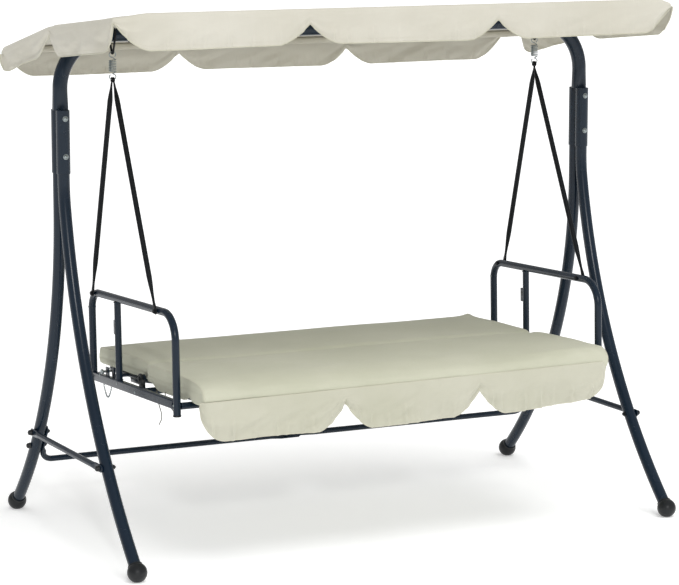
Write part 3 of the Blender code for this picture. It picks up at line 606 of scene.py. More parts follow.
def place_on_leg(front, height):
    for upper, lower in zip(leg_route(front), leg_route(front)[1:]):
        if upper[1] >= height >= lower[1]:
            share = (upper[1] - height) / (upper[1] - lower[1])
            y = upper[0] + (lower[0] - upper[0]) * share
            return y, Vector((0.0, lower[0] - upper[0], lower[1] - upper[1])).normalized()
    raise ValueError(height)


def make_foot(word, end, x):
    front = end == "front"
    route = [Vector((x, *place)) for place in leg_route(front)[-2:]]
    along = (route[1] - route[0]).normalized()
    centre = Vector((x, -FOOT_Y if front else FOOT_Y, FOOT_Z))
    form = bmesh.new()
    bmesh.ops.create_uvsphere(form, u_segments=48, v_segments=32, radius=FOOT_RADIUS)
    form.transform(Matrix.Translation(centre))
    geometry = form.verts[:] + form.edges[:] + form.faces[:]
    below = bmesh.ops.bisect_plane(form, geom=geometry, plane_co=(0, 0, 0.0), plane_no=(0, 0, -1),
        clear_outer=True)
    rim = [item for item in below["geom_cut"] if isinstance(item, bmesh.types.BMEdge)]
    bmesh.ops.contextual_create(form, geom=rim)
    collar = centre - along * 0.0225
    lip = [(0.0212, -0.004), (0.0236, -0.003), (0.0242, 0.0), (0.0236, 0.0036), (0.0212, 0.0046)]
    lathe(form, lip, collar, -along, sides=40)
    settle(f"{end}_{word}_ball_foot", form, PLASTIC, "stand", [f"{end}_{word}_foot"])


def make_leg(word, end, x):
    form = bmesh.new()
    points = [(x, y, z) for y, z in leg_route(end == "front")]
    tube(form, points, LEG_RADIUS, sides=36)
    settle(f"{end}_{word}_leg_tube", form, STEEL, "stand", [f"{end}_{word}_leg"])


def make_elbow(word, side):
    """The corner tube with its pressed foot, over the twin sleeves."""
    x = side * FRAME_X
    bend_x, bend_z = x - side * ELBOW_BEND, BEAM_Z - ELBOW_BEND
    form = bmesh.new()
    rings = []
    count = 48
    for z, share in (
        (SLEEVE_TOP - 0.0015, 1.0),
        (SLEEVE_TOP + 0.004, 0.98),
        (SLEEVE_TOP + 0.012, 0.90),
        (SLEEVE_TOP + 0.022, 0.72),
        (SLEEVE_TOP + 0.034, 0.48),
        (SLEEVE_TOP + 0.046, 0.24),
        (SLEEVE_TOP + 0.056, 0.08),
        (bend_z - 0.001, 0.0),
    ):
        ring = []
        for step in range(count):
            turn = CIRCLE * (step + 0.5) / count
            c, s = cos(turn), sin(turn)
            round_a, round_b = ELBOW_RADIUS * c, ELBOW_RADIUS * s
            pressed_a = 0.0255 * copysign(abs(c) ** 0.55, c)
            pressed_b = 0.0160 * copysign(abs(s) ** 0.55, s)
            pressed_b *= 1 - 0.42 * exp(-((pressed_a / 0.0095) ** 2))
            a = round_a + (pressed_a - round_a) * share
            b = round_b + (pressed_b - round_b) * share
            ring.append(Vector((x - side * a, BEAM_Y + b, z)))
        rings.append(ring)
    for step in range(1, 33):
        turn = pi / 2 * step / 32
        centre = (bend_x + side * ELBOW_BEND * cos(turn), BEAM_Y, bend_z + ELBOW_BEND * sin(turn))
        across = (-side * cos(turn), 0.0, -sin(turn))
        rings.append(section(centre, across, (0, 1, 0), ELBOW_RADIUS, ELBOW_RADIUS, sides=count))
    add_rings(form, rings)
    for offset in (-SLEEVE_SPACING / 2, SLEEVE_SPACING / 2):
        y = BEAM_Y + offset
        outer, inner = SLEEVE_RADIUS, SLEEVE_RADIUS - 0.0016
        profile = [
            (inner, 0.012),
            (inner, 0.0006),
            (inner + 0.0005, 0.0),
            (outer - 0.0006, 0.0),
            (outer, 0.0008),
            (outer, SLEEVE_TOP - SLEEVE_BOTTOM - 0.0012),
            (outer - 0.0010, SLEEVE_TOP - SLEEVE_BOTTOM),
            (0.0, SLEEVE_TOP - SLEEVE_BOTTOM),
        ]
        rows = []
        for radius, height in profile:
            radius, z = max(radius, THINNEST), SLEEVE_BOTTOM + height
            rows.append([Vector((x + radius * cos(a), y + radius * sin(a), z)) for a in around(48)])
        add_rings(form, rows)
    for face_side in (-1, 1):
        seam = [(x + face_side * 0.0128, BEAM_Y, SLEEVE_BOTTOM + 0.006 + 0.2 * step / 30)
            for step in range(31)]
        sizes = [0.0026 * (1 + 0.15 * sin(step * 2.1)) for step in range(31)]
        tube(form, seam, sizes, sides=10)
    settle(f"{word}_corner_tube", form, STEEL, "stand", [f"{word}_elbow"])


def make_bolt(name, place, direction, length, material, replaces, cap=False):
    """A domed head and washer, with a hexagonal nut and the thread's end past the length."""
    form = bmesh.new()
    head = [
        (0.0092, 0.0),
        (0.0092, -0.0012),
        (0.0072, -0.0014),
        (0.0070, -0.0026),
        (0.0058, -0.0044),
        (0.0036, -0.0056),
        (0.0, -0.0060),
    ]
    if cap:
        head = [
            (0.0100, 0.0),
            (0.0102, -0.0020),
            (0.0092, -0.0040),
            (0.0088, -0.0085),
            (0.0070, -0.0118),
            (0.0036, -0.0134),
            (0.0, -0.0138),
        ]
    lathe(form, head, place, direction, sides=32)
    end = Vector(place) + Vector(direction) * length
    lathe(form, [(0.0086, 0.0), (0.0086, 0.0011), (0.0, 0.0011)], end, direction, sides=32)
    lathe(form, [(0.0064, 0.0011), (0.0068, 0.0018), (0.0068, 0.0052), (0.0060, 0.0060),
        (0.0, 0.0060)], end, direction, sides=6)
    lathe(form, [(0.0039, 0.0055), (0.0039, 0.0076), (0.0032, 0.0086), (0.0, 0.0086)], end,
        direction, sides=20)
    settle(name, form, material, "stand", replaces, angle=30)


def make_brace(word, side):
    x = side * (FRAME_X + LEG_RADIUS + 0.0035)
    front_y, back_y = place_on_leg(True, BRACE_Z)[0], place_on_leg(False, BRACE_Z)[0]
    end, flat = 0.016, 0.034
    stations = []
    for y, direction in ((front_y, 1), (back_y, -1)):
        half = [
            ((x, y - direction * end, BRACE_Z), 0.0060, 0.0022, 2.4),
            ((x, y - direction * (end - 0.0035), BRACE_Z), 0.0105, 0.0029, 2.6),
            ((x, y - direction * (end - 0.009), BRACE_Z), 0.0130, 0.0030, 3.0),
            ((x, y + direction * flat, BRACE_Z), 0.0130, 0.0030, 3.0),
            ((x, y + direction * (flat + 0.010), BRACE_Z), 0.0122, 0.0050, 2.6),
            ((x, y + direction * (flat + 0.020), BRACE_Z), 0.0109, 0.0082, 2.2),
            ((x, y + direction * (flat + 0.030), BRACE_Z), BRACE_RADIUS, BRACE_RADIUS, 2.0),
        ]
        stations += half if direction > 0 else half[::-1]
    form = bmesh.new()
    across, along = (0, 0, 1), (1, 0, 0)
    add_rings(form, [section(place, across, along, *sizes) for place, *sizes in stations])
    settle(f"{word}_brace_tube", form, STEEL, "stand", [f"{word}_side_brace"])
    outer = x + side * 0.0034
    for end_word, y, node in (("front", front_y, "front_brace_bolt"),
            ("rear", back_y, "crossbar_bolt")):
        length = 0.0475 if end_word == "front" else 0.0565
        make_bolt(
            f"{word}_{end_word}_capped_bolt",
            (outer, y, BRACE_Z),
            (-side, 0, 0),
            length,
            PLASTIC,
            [f"{word}_{node}"],
            cap=True,
        )


def make_crossbar(word, side):
    back_y, down = place_on_leg(False, BRACE_Z)
    up = -down
    normal = Vector((1, 0, 0)).cross(up)
    bolt = Vector((side * (FRAME_X - LEG_RADIUS - 0.0048), back_y, BRACE_Z))
    run = Vector((side * (FRAME_X - LEG_RADIUS - 0.0012 - BRACE_RADIUS), back_y, BRACE_Z))
    corner = run - up * 0.132
    inner = Vector((-side * 0.030, *corner[1:]))
    route = arc_route([run, corner, inner], [0.040], steps=14)
    lift = side * 0.0034
    stations = [
        (bolt + up * 0.020, 0.006, 0.003, 2.4),
        (bolt + up * 0.016, 0.0115, 0.0038, 2.7),
        (bolt + up * 0.010, 0.013, 0.004, 3.0),
        (bolt - up * 0.066, 0.013, 0.004, 3.0),
        (bolt.lerp(run, 0.4) - up * 0.078, 0.0120, 0.0068, 2.5),
    ]
    stations += [(point, BRACE_RADIUS, BRACE_RADIUS, 2.0) for point in route[1:-1]]
    stations.append((Vector((side * 0.085, *corner[1:])), BRACE_RADIUS, BRACE_RADIUS, 2.0))
    stations.append((Vector((side * 0.064, *corner[1:])) + up * lift * 0.5, 0.0124, 0.0062, 2.4))
    stations.append((Vector((side * 0.045, *corner[1:])) + up * lift, 0.014, 0.003, 3.0))
    stations.append((Vector((-side * 0.022, *corner[1:])) + up * lift, 0.014, 0.003, 3.0))
    stations.append((inner + up * lift, 0.009, 0.0028, 2.4))
    rings = []
    for index, (place, wide, thin, roundness) in enumerate(stations):
        before = stations[max(index - 1, 0)][0]
        after = stations[min(index + 1, len(stations) - 1)][0]
        along = (after - before).normalized()
        if index >= len(stations) - 5:
            along = Vector((-side, 0, 0))
        if index <= 4:
            along = -up
        rings.append(section(place, normal, along.cross(normal), wide, thin, roundness))
    form = bmesh.new()
    add_rings(form, rings)
    settle(f"{word}_crossbar_half", form, STEEL, "stand", [f"{word}_rear_crossbar"])
    low_y = place_on_leg(False, BRACE_Z - 0.052)[0]
    lower = Vector((side * (FRAME_X + LEG_RADIUS + 0.0004), low_y, BRACE_Z - 0.052))
    name = f"{word}_lower_crossbar_bolt"
    make_bolt(name, lower, (-side, 0, 0), 0.0505, PLASTIC, [], cap=True)
    return corner, up


def make_beam_tube():
    form = bmesh.new()
    reach = FRAME_X - ELBOW_BEND + 0.003
    tube(form, [(x, BEAM_Y, BEAM_Z) for x in (-reach, 0, reach)], BEAM_RADIUS, sides=48)
    for side in (-1, 1):
        x = side * (FRAME_X - ELBOW_BEND)
        weld = [(0.0225, -0.0016), (0.0250, -0.0010), (0.0252, 0.0008), (0.0225, 0.0012)]
        lathe(form, weld, (x, BEAM_Y, BEAM_Z), (side, 0, 0), sides=48)
    settle("beam_tube", form, STEEL, "stand", ["top_beam"])


def make_stand():
    for word, side in SIDES:
        x = side * FRAME_X
        for end in ("front", "back"):
            make_leg(word, end, x)
            make_foot(word, end, x)
        make_elbow(word, side)
        make_brace(word, side)
        half = SLEEVE_SPACING / 2 + SLEEVE_RADIUS
        for number in (1, 2):
            low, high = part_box(f"{word}_sleeve_bolt_{number}")
            place = (x, BEAM_Y - half + 0.0002, (low.z + high.z) / 2)
            node = f"{word}_sleeve_bolt_{number}"
            make_bolt(f"{word}_sleeve_screw_{number}", place, (0, 1, 0), 2 * half, ZINC,
                [node])
        corner, up = make_crossbar(word, side)
    middle = Vector((0.0, *corner[1:]))
    make_bolt("crossbar_joint_screw", middle + up * 0.0066, -up, 0.0132, ZINC,
        ["crossbar_joint_bolt"])
    make_beam_tube()


make_stand()

# hangers


def make_hanger_loop(word, side):
    over = BEAM_RADIUS + 0.0035 + 0.0006
    tip = 0.007
    low_z = LOOP_TIP_Z + tip
    slope = asin((over - tip) / (BEAM_Z - low_z))
    points = []
    for step in range(31):
        turn = -slope + (pi + 2 * slope) * step / 30
        points.append((side * HANGER_X, BEAM_Y + over * cos(turn), BEAM_Z + over * sin(turn)))
    for step in range(13):
        turn = pi + slope + (pi - 2 * slope) * step / 12
        points.append((side * HANGER_X, BEAM_Y + tip * cos(turn), low_z + tip * sin(turn)))
    form = bmesh.new()
    tube(form, points, 0.0035, sides=18, closed=True)
    settle(f"{word}_beam_loop", form, BLACK, "stand", [f"{word}_hanger_loop"])


def make_spring(word, side):
    x = side * HANGER_X
    points = []
    top = SWING_Z - 0.009
    for step in range(25):
        turn = radians(-50 + 320 * step / 24)
        points.append((x + 0.0115 * cos(turn), BEAM_Y, top + 0.009 * sin(turn)))
    turns, steps = 7, 28
    for step in range(turns * steps + 1):
        turn = CIRCLE * step / steps
        z = 1.581 - 0.00543 * step / steps
        points.append((x + SPRING_RADIUS * cos(turn), BEAM_Y + SPRING_RADIUS * sin(turn), z))
    low = EYE_Z + EYE_RADIUS - EYE_WIRE - SPRING_WIRE - 0.0016 + 0.009
    for step in range(25):
        turn = radians(90 - 320 * step / 24)
        points.append((x + 0.0115 * cos(turn), BEAM_Y, low + 0.009 * sin(turn)))
    form = bmesh.new()
    tube(form, points, SPRING_WIRE * 0.82, sides=12)
    made = settle(f"{word}_coil_spring", form, ZINC, None, [f"{word}_spring"])
    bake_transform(made)


def make_hanging_rod(word, end, side):
    front = end == "front"
    eye = Vector((side * (HANGER_X + (-0.0028 if front else 0.0028)), BEAM_Y, EYE_Z))
    stud = seat_point(side * (ARM_X + ARM_TUBE + 0.0036), ROD_FRONT_S if front else ROD_BACK_S,
        ARM_TOP_H)
    along = (stud - eye).normalized()
    length = (stud - eye).length
    normal = along.cross(Vector((1, 0, 0))).normalized()
    across = normal.cross(along)
    stations = [
        (EYE_RADIUS - 0.001, EYE_WIRE, EYE_WIRE, 2.0),
        (0.012, 0.0034, 0.0030, 2.0),
        (0.026, 0.0050, 0.0038, 2.0),
        (0.042, 0.0066, 0.0056, 2.0),
        (0.058, 0.0080, 0.0076, 2.0),
        (0.072, 0.0087, 0.0087, 2.0),
        (length - 0.115, 0.0087, 0.0087, 2.0),
        (length - 0.090, 0.0076, 0.0074, 2.0),
        (length - 0.062, 0.0060, 0.0052, 2.0),
        (length - 0.040, 0.0052, 0.0042, 2.0),
        (length - 0.030, 0.0056, 0.0038, 2.3),
        (length - 0.018, 0.0092, 0.0030, 2.8),
        (length + 0.002, 0.0096, 0.0030, 2.8),
        (length + 0.008, 0.0070, 0.0028, 2.4),
        (length + 0.010, 0.0040, 0.0020, 2.2),
    ]
    form = bmesh.new()
    rings = [section(eye + along * reach, normal, across, a, b, power, 24) for reach, a, b,
        power in stations]
    add_rings(form, rings)
    circle = [
        eye + Vector((0, cos(turn), sin(turn))) * EYE_RADIUS
        for turn in around(32)
    ]
    tube(form, circle, EYE_WIRE, sides=14, closed=True)
    outward = Vector((side, 0, 0))
    nut = [(0.0088, 0.0), (0.0088, 0.0012), (0.0066, 0.0014), (0.0066, 0.0052), (0.0058, 0.0062),
        (0.0, 0.0064)]
    lathe(form, nut, stud + outward * 0.0028, outward, sides=24)
    lathe(form, nut, stud - outward * (2 * ARM_TUBE + 0.0036), -outward, sides=24)
    name = f"{end}_{word}_hanging_rod"
    settle(f"{end}_{word}_hanger", form, BLACK, "seat", [name])


for word, side in SIDES:
    make_hanger_loop(word, side)
    make_spring(word, side)
    make_hanging_rod(word, "front", side)
    make_hanging_rod(word, "back", side)

# seat frame


def in_seat(points):
    return [seat_point(*point) for point in points]


def rivet(form, place, direction, radius=0.0042):
    head = [(radius, 0.0), (radius * 0.92, 0.0008), (radius * 0.6, 0.0017), (0.0, 0.0021)]
    lathe(form, head, place, direction, sides=20)


def make_armrest(word, side):
    x = side * ARM_X
    corners = in_seat([(x, BACK_POST_S, -0.015), (x, BACK_POST_S, ARM_TOP_H),
        (x, FRONT_POST_S, ARM_TOP_H), (x, FRONT_POST_S, -0.036)])
    form = bmesh.new()
    tube(form, arc_route(corners, [0.060, 0.085], steps=18), ARM_TUBE, sides=32)
    settle(f"{word}_arm_hoop", form, STEEL, "seat", [f"{word}_armrest"])

    down = SEAT.to_3x3() @ Vector((0, 0, -1))
    form = bmesh.new()
    for s, h in ((BACK_POST_S, -0.015), (FRONT_POST_S, -0.036)):
        cap = [(0.0130, -0.0040), (0.0134, -0.0034), (0.0134, 0.0004), (0.0118, 0.0016),
            (0.0, 0.0019)]
        lathe(form, cap, seat_point(x, s, h), down, sides=28)
    settle(f"{word}_post_caps", form, PLASTIC, "seat")

    form = bmesh.new()
    first, last = FRONT_POST_S + ARM_TUBE - 0.001, BACK_POST_S - ARM_TUBE + 0.001
    block(form, (x - 0.010, first, -0.015), (x + 0.010, last, 0.015), SEAT, bevel=0.0045,
        segments=4)
    tube(form, in_seat([(x, UPRIGHT_S, 0.012), (x, UPRIGHT_S, 0.1),
        (x, UPRIGHT_S, ARM_TOP_H - 0.010)]), 0.0115, sides=32)
    direction = SEAT.to_3x3() @ UP
    weld_bead(form, seat_point(x, UPRIGHT_S, 0.0155), direction, 0.0118)
    weld_bead(form, seat_point(x, UPRIGHT_S, ARM_TOP_H - ARM_TUBE - 0.0005), direction, 0.0112)
    run = SEAT.to_3x3() @ Vector((0, 1, 0))
    for s in (first + 0.001, last - 0.001):
        weld_bead(form, seat_point(x, s, 0.0), run, 0.0118, size=0.0018)
    for s_low, s_high, h_low, h_high in ((0.111, 0.142, 0.165, 0.213),
            (LOCK_S - 0.014, LOCK_S + 0.014, 0.008, HINGE_H + 0.014)):
        block(form, (x - 0.002, s_low, h_low), (x + 0.002, s_high, h_high), SEAT, bevel=0.0012)
    settle(f"{word}_rail_and_upright", form, STEEL, "seat", [f"{word}_arm_rail"])

    form = bmesh.new()
    for s, h in ((0.131, 0.195), (LOCK_S, HINGE_H)):
        for face in (-1, 1):
            eyelet = [(0.0046, 0.0), (0.0070, 0.0002), (0.0070, 0.0009), (0.0046, 0.0011)]
            lathe(form, eyelet, seat_point(x + face * 0.0020, s, h), (face, 0, 0), sides=24)
    settle(f"{word}_tab_eyelets", form, PLASTIC, "seat")

    form = bmesh.new()
    inward = Vector((-side, 0, 0))
    for s, h, reach in (
        (BACK_POST_S, 0.0, ARM_TUBE),
        (FRONT_POST_S, 0.0, ARM_TUBE),
        (UPRIGHT_S, 0.004, 0.010),
        (-0.052, -0.004, 0.010),
        (BACK_POST_S, 0.235, ARM_TUBE),
    ):
        rivet(form, seat_point(x, s, h) + inward * (reach - 0.0002), inward)
        rivet(form, seat_point(x, s, h) - inward * (reach - 0.0002), -inward)
    settle(f"{word}_rivets", form, ZINC, "seat")

    form = bmesh.new()
    pin = [
        (0.0, 0.0400),
        (0.0030, 0.0400),
        (0.0040, 0.0385),
        (0.0040, 0.0080),
        (0.0078, 0.0078),
        (0.0084, 0.0060),
        (0.0084, 0.0015),
        (0.0078, 0.0),
        (0.0, 0.0),
    ]
    lathe(form, pin[::-1], seat_point(side * (ARM_X + 0.024), LOCK_S, HINGE_H), (-side, 0, 0),
        sides=28)
    ring_centre = seat_point(side * (ARM_X + 0.029), LOCK_S, HINGE_H - 0.008)
    ring = [
        ring_centre + Vector((0.35 * cos(turn), 0.9 * cos(turn), sin(turn))) * 0.0090
        for turn in around(32)
    ]
    tube(form, ring, 0.0011, sides=10, closed=True)
    settle(f"{word}_pull_pin", form, ZINC, "seat", [f"{word}_lock_pin"])

    form = bmesh.new()
    inner, outer = side * 0.744, side * 0.750
    low, high = sorted((inner, outer))
    block(form, (low, -0.036, -0.010), (high, 0.010, HINGE_H), SEAT, bevel=0.002)
    disc = [(0.0158, 0.0), (0.0170, 0.0008), (0.0170, 0.0064), (0.0158, 0.0074), (0.0, 0.0074)]
    lathe(form, disc, seat_point(side * 0.7436, 0.0, HINGE_H), (side, 0, 0), sides=40)
    head = [(0.0080, 0.0), (0.0080, 0.0030), (0.0062, 0.0052), (0.0, 0.0060)]
    lathe(form, head, seat_point(side * 0.7505, 0.0, HINGE_H), (side, 0, 0), sides=28)
    lathe(form, [(0.0050, 0.0), (0.0050, 0.022), (0.0, 0.022)],
        seat_point(side * 0.7505, 0.0, HINGE_H), (-side, 0, 0))
    settle(f"{word}_hinge_plate", form, PLASTIC, "seat", [f"{word}_hinge"])


def frame_route(half_x, s_low, s_high, h, corner, steps=12):
    points = []
    for turn, x, s in ((0, half_x, s_high), (1, -half_x, s_high), (2, -half_x, s_low),
            (3, half_x, s_low)):
        centre = Vector((x - copysign(corner, x), s - corner if s == s_high else s + corner, h))
        for step in range(steps):
            angle = pi / 2 * (turn + step / (steps - 1))
            points.append(seat_point(*(centre + Vector((cos(angle), sin(angle), 0)) * corner)))
    return points


def make_seat_frames():
    form = bmesh.new()
    tube(form, frame_route(0.712, -0.490, -0.052, 0.0125, 0.05), 0.009, sides=24, closed=True)
    for s, reach in ((FRONT_POST_S, ARM_X - ARM_TUBE), (-0.052, ARM_X - 0.010)):
        tube(form, in_seat([(-reach, s, -0.004), (0, s, -0.004), (reach, s, -0.004)]), 0.0115,
            sides=28)
    settle("seat_frame_tubes", form, STEEL, "seat", ["seat_frame"])

    form = bmesh.new()
    tube(form, frame_route(0.700, 0.026, 0.412, 0.0125, 0.05), 0.009, sides=24, closed=True)
    for side in (-1, 1):
        low, high = sorted((side * 0.733, side * 0.741))
        block(form, (low, -0.006, 0.006), (high, 0.105, 0.022), SEAT, bevel=0.002)
        lathe(form, [(0.0140, 0.0), (0.0140, 0.008), (0.0, 0.008)],
            seat_point(side * 0.733, 0, HINGE_H), (side, 0, 0), 36)
        tube(form, in_seat([(side * 0.700, 0.095, 0.0125), (side * 0.737, 0.095, 0.0125)]), 0.0060,
            sides=20)
        low, high = sorted((side * 0.756, side * 0.761))
        block(form, (low, LOCK_S - 0.012, 0.004), (high, LOCK_S + 0.012, HINGE_H + 0.012), SEAT,
            bevel=0.0015)
        tube(form, in_seat([(side * 0.700, LOCK_S, 0.0125), (side * 0.758, LOCK_S, 0.0125)]),
            0.0060, sides=20)
    settle("backrest_frame_tubes", form, STEEL, "backrest", ["backrest_frame"])


def cloth_grid(columns, rows, place):
    """A grid of cloth with a UV map in metres. place(i, j) gives each point."""
    form = bmesh.new()
    verts = [[form.verts.new(place(i, j)) for i in range(columns)] for j in range(rows)]
    layer = form.loops.layers.uv.new("cloth")
    run = [[0.0] * columns for _ in range(rows)]
    rise = [[0.0] * columns for _ in range(rows)]
    for j in range(rows):
        for i in range(1, columns):
            run[j][i] = run[j][i - 1] + (verts[j][i].co - verts[j][i - 1].co).length
    for i in range(columns):
        for j in range(1, rows):
            rise[j][i] = rise[j - 1][i] + (verts[j][i].co - verts[j - 1][i].co).length
    for j in range(rows - 1):
        for i in range(columns - 1):
            corners = ((i, j), (i + 1, j), (i + 1, j + 1), (i, j + 1))
            face = form.faces.new([verts[b][a] for a, b in corners])
            for loop, (a, b) in zip(face.loops, corners):
                loop[layer].uv = (run[b][a], rise[b][a])
    return form


def cloth_area(form):
    return sum(face.calc_area() for face in form.faces)


def thicken(mesh, thickness):
    """Gives a sheet its thickness and returns the finished mesh."""
    source = bpy.data.objects.new("sheet_source", mesh)
    bpy.context.scene.collection.objects.link(source)
    wall = source.modifiers.new("cloth", "SOLIDIFY")
    wall.thickness = thickness
    wall.offset = -1.0
    wall.use_even_offset = False
    graph = bpy.context.evaluated_depsgraph_get()
    made = bpy.data.meshes.new_from_object(source.evaluated_get(graph))
    bpy.data.objects.remove(source, do_unlink=True)
    return made


def sheet_mesh(form):
    form.normal_update()
    mesh = bpy.data.meshes.new("sheet")
    form.to_mesh(mesh)
    form.free()
    return mesh


def make_sling(name, body, node, x_half, s_low, s_high):
    columns, rows = 121, 31

    def place(i, j):
        u, v = i / (columns - 1), j / (rows - 1)
        sag = 0.0035 * (1 - (2 * u - 1) ** 6) * (1 - (2 * v - 1) ** 2)
        return seat_point(-x_half + 2 * x_half * u, s_low + (s_high - s_low) * v, 0.0238 - sag)

    form = cloth_grid(columns, rows, place)
    area = cloth_area(form)
    made = settle(name, thicken(sheet_mesh(form), CLOTH_WALL), SUPPORT, body, [node])


for word, side in SIDES:
    make_armrest(word, side)
make_seat_frames()
make_sling("seat_support", "seat", "seat_sling", 0.716, -0.494, -0.044)
make_sling("backrest_support", "backrest", "backrest_sling", 0.706, 0.034, 0.418)

# cushion and skirt

CUSHION_LINE = (
    (-0.5085, 0.0200),
    (-0.5115, 0.0260),
    (-0.5105, 0.0380),
    (-0.5030, 0.0505),
    (-0.4880, 0.0620),
    (-0.4620, 0.0720),
    (-0.4250, 0.0795),
    (-0.3800, 0.0840),
    (-0.2500, 0.0865),
    (-0.1200, 0.0860),
    (-0.0480, 0.0835),
    (-0.0300, 0.0805),
    (-0.0200, 0.0770),
    (-0.0100, 0.0815),
    (0.0100, 0.0865),
    (0.0700, 0.0890),
    (0.2000, 0.0905),
    (0.3300, 0.0890),
    (0.4120, 0.0860),
    (0.4225, 0.0820),
    (0.4265, 0.0740),
    (0.4275, 0.0500),
    (0.4255, 0.0320),
    (0.4150, 0.0268),
)
CUSHION_MIDDLE = 0.048
CUSHION_HALF = 0.742
EDGE_DROP = 0.0048


def ripple(x, y, z):
    """Smooth noise at a place, from about -1 to 1."""
    return noise.noise(Vector((x, y, z)))


def soft_step(value):
    share = min(max(value, 0.0), 1.0)
    return share * share * (3 - 2 * share)


def cushion_half_width(s):
    """The seat half is wider than the backrest half, which clears the hinges."""
    return 0.7225 + 0.0185 * soft_step((-0.010 - s) / 0.045)


def cushion_wrinkles(x, s):
    """Height of the cover's wrinkles: soft hollows, gathers at the fold, and pulls at the edges."""
    broad = ripple(x * 1.7, s * 4.4, 0.3) * 0.0034
    broad += ripple(x * 5.4 + 7, s * 10.0, 1.7) * 0.0016
    end = abs(x) / CUSHION_HALF
    near_fold = exp(-(((s + 0.02) / 0.045) ** 2))
    gather = ripple(x * 30.0, 3.1, s * 7.0)
    pulls = ripple(x * 16.0 + s * 20.0, s * 9.0, 8.4)
    near_front = exp(-(((s + 0.500) / 0.022) ** 2))
    height = broad + gather * near_fold * (0.0009 + 0.0028 * end**8)
    height += pulls * 0.0032 * exp(-(((s + 0.01) / 0.10) ** 2)) * exp(-(((abs(x)
        - 0.66) / 0.07) ** 2))
    height += gather * 0.0011 * near_front
    return height


def boxed_front(x, s, h):
    """The front's rounding gives way to a square box edge towards the right end."""
    square = 0.084
    if s < -0.46:
        square = 0.030 + 0.054 * sqrt(max(0.0, 1 - ((-0.46 - s) / 0.0520) ** 2))
    share = soft_step((x - 0.25) / 0.40) + 0.30 * soft_step((-0.62 - x) / 0.10)
    return h + max(0.0, square - h) * share * soft_step((h - 0.028) / 0.014)


def corner_ear(x, s):
    """The cover's pinched peak at a back corner."""
    fall = abs(x - 0.712) / 0.030 + abs(s - 0.412) / 0.034
    return 0.0105 * exp(-(fall**1.3)) if x > 0 else 0.004 * exp(-(fall**1.3))


def make_cushion():
    """The mattress that lies on both frames: boxed sides, crisp edges and a fold across."""
    top = smooth_route([Vector((0, s, h)) for s, h in CUSHION_LINE], 150)
    steps = 60
    bottom = [Vector((0, 0.4150 - (0.4150 + 0.5085) * step / steps, 0.0262))
        for step in range(1, steps)]
    for point in bottom:
        point.z -= 0.0062 * soft_step((-0.496 - point.y) / 0.010)
    loop = [(point, True) for point in top] + [(point, False) for point in bottom]
    edge = [(0.0, EDGE_DROP), (0.0008, 0.0026), (0.0022, 0.0012), (0.0042, 0.0003), (0.0070, 0.0)]
    count = 150
    body = [(distance, drop) for distance, drop in edge]
    body += [(0.0070 + (CUSHION_HALF - 0.0070) * (step / count) ** 1.12, 0.0)
        for step in range(1, count + 1)]

    def ring_at(side, distance, drop, collapse):
        ring = []
        for point, upper in loop:
            s, h = point.y, point.z
            half = cushion_half_width(s)
            x = side * (half - distance * half / CUSHION_HALF)
            scale = 1 - drop / 0.034
            s = -0.042 + (s + 0.042) * (1 - drop / 0.47)
            if upper:
                h = boxed_front(x, s, h) if s < -0.30 else h
                share = soft_step((h - 0.058) / 0.012)
                height = cushion_wrinkles(x, s) * (1 - 0.55 * soft_step(1 - distance / 0.02))
                h += (height + corner_ear(x, s) - 0.0022 * soft_step(1 - distance / 0.10)) * share
                front = soft_step((-0.492 - s) / 0.012)
                s += 0.0016 * ripple(x * 12.0, 5.5, h * 30) * front
            elif s < -0.075:
                over_tube = 1 - 0.80 * exp(-(((s + 0.383) / 0.024) ** 2))
                h -= 0.0200 * over_tube * soft_step((abs(x) - 0.7255) / 0.006) * soft_step((-0.075
                    - s) / 0.06)
            h = CUSHION_MIDDLE + (h - CUSHION_MIDDLE) * scale * (1 - collapse)
            if collapse:
                bow = sin(pi * collapse) * 0.55 + 0.45 * soft_step(collapse * 2)
                crease = ripple(s * 13.0, h * 22.0, 4.0 + side)
                upright = exp(-(((s + 0.318) / 0.012) ** 2)) + exp(-(((s - 0.150) / 0.010) ** 2))
                x += side * (0.0030 * bow + 0.0022 * crease * collapse - 0.0030 * upright * bow)
            ring.append(seat_point(x, s, h))
        return ring

    rings = [ring_at(-1, 0.0, EDGE_DROP, 0.97)] + [ring_at(-1, 0.0, EDGE_DROP, k / 7)
        for k in (6, 5, 4, 3, 2, 1)]
    rings += [ring_at(-1, distance, drop, 0.0) for distance, drop in body]
    rings += [ring_at(1, distance, drop, 0.0) for distance, drop in body[-2::-1]]
    rings += [ring_at(1, 0.0, EDGE_DROP, k / 7)
        for k in (1, 2, 3, 4, 5, 6)] + [ring_at(1, 0.0, EDGE_DROP, 0.97)]
    form = bmesh.new()
    add_rings(form, rings)
    made = settle("bed_cushion", form, SEAT_CLOTH, None,
        ["seat_cushion", "backrest_cushion"], angle=80)
    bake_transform(made)

    form = bmesh.new()
    for side in (-1, 1):
        rim = ring_at(side, 0.0008, 0.0026, 0.0)[8:146]
        tube(form, rim, 0.0013, sides=8)
    made = settle("cushion_seams", form, PIPING_CLOTH, None)
    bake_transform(made)


def scallop_fall(share):
    """How far the edge has fallen at this share of a scallop's run, from 0 at the notch to 1."""
    t = 3 - sqrt(max(0.0, 9 - 5 * min(max(share, 0.0), 1.0)))
    return 2 * t - t * t


def round_fall(share):
    """The same for a rounded corner, which falls steeply first."""
    share = min(max(share, 0.0), 1.0)
    return sqrt(max(0.0, 1 - (1 - share) ** 2.1))


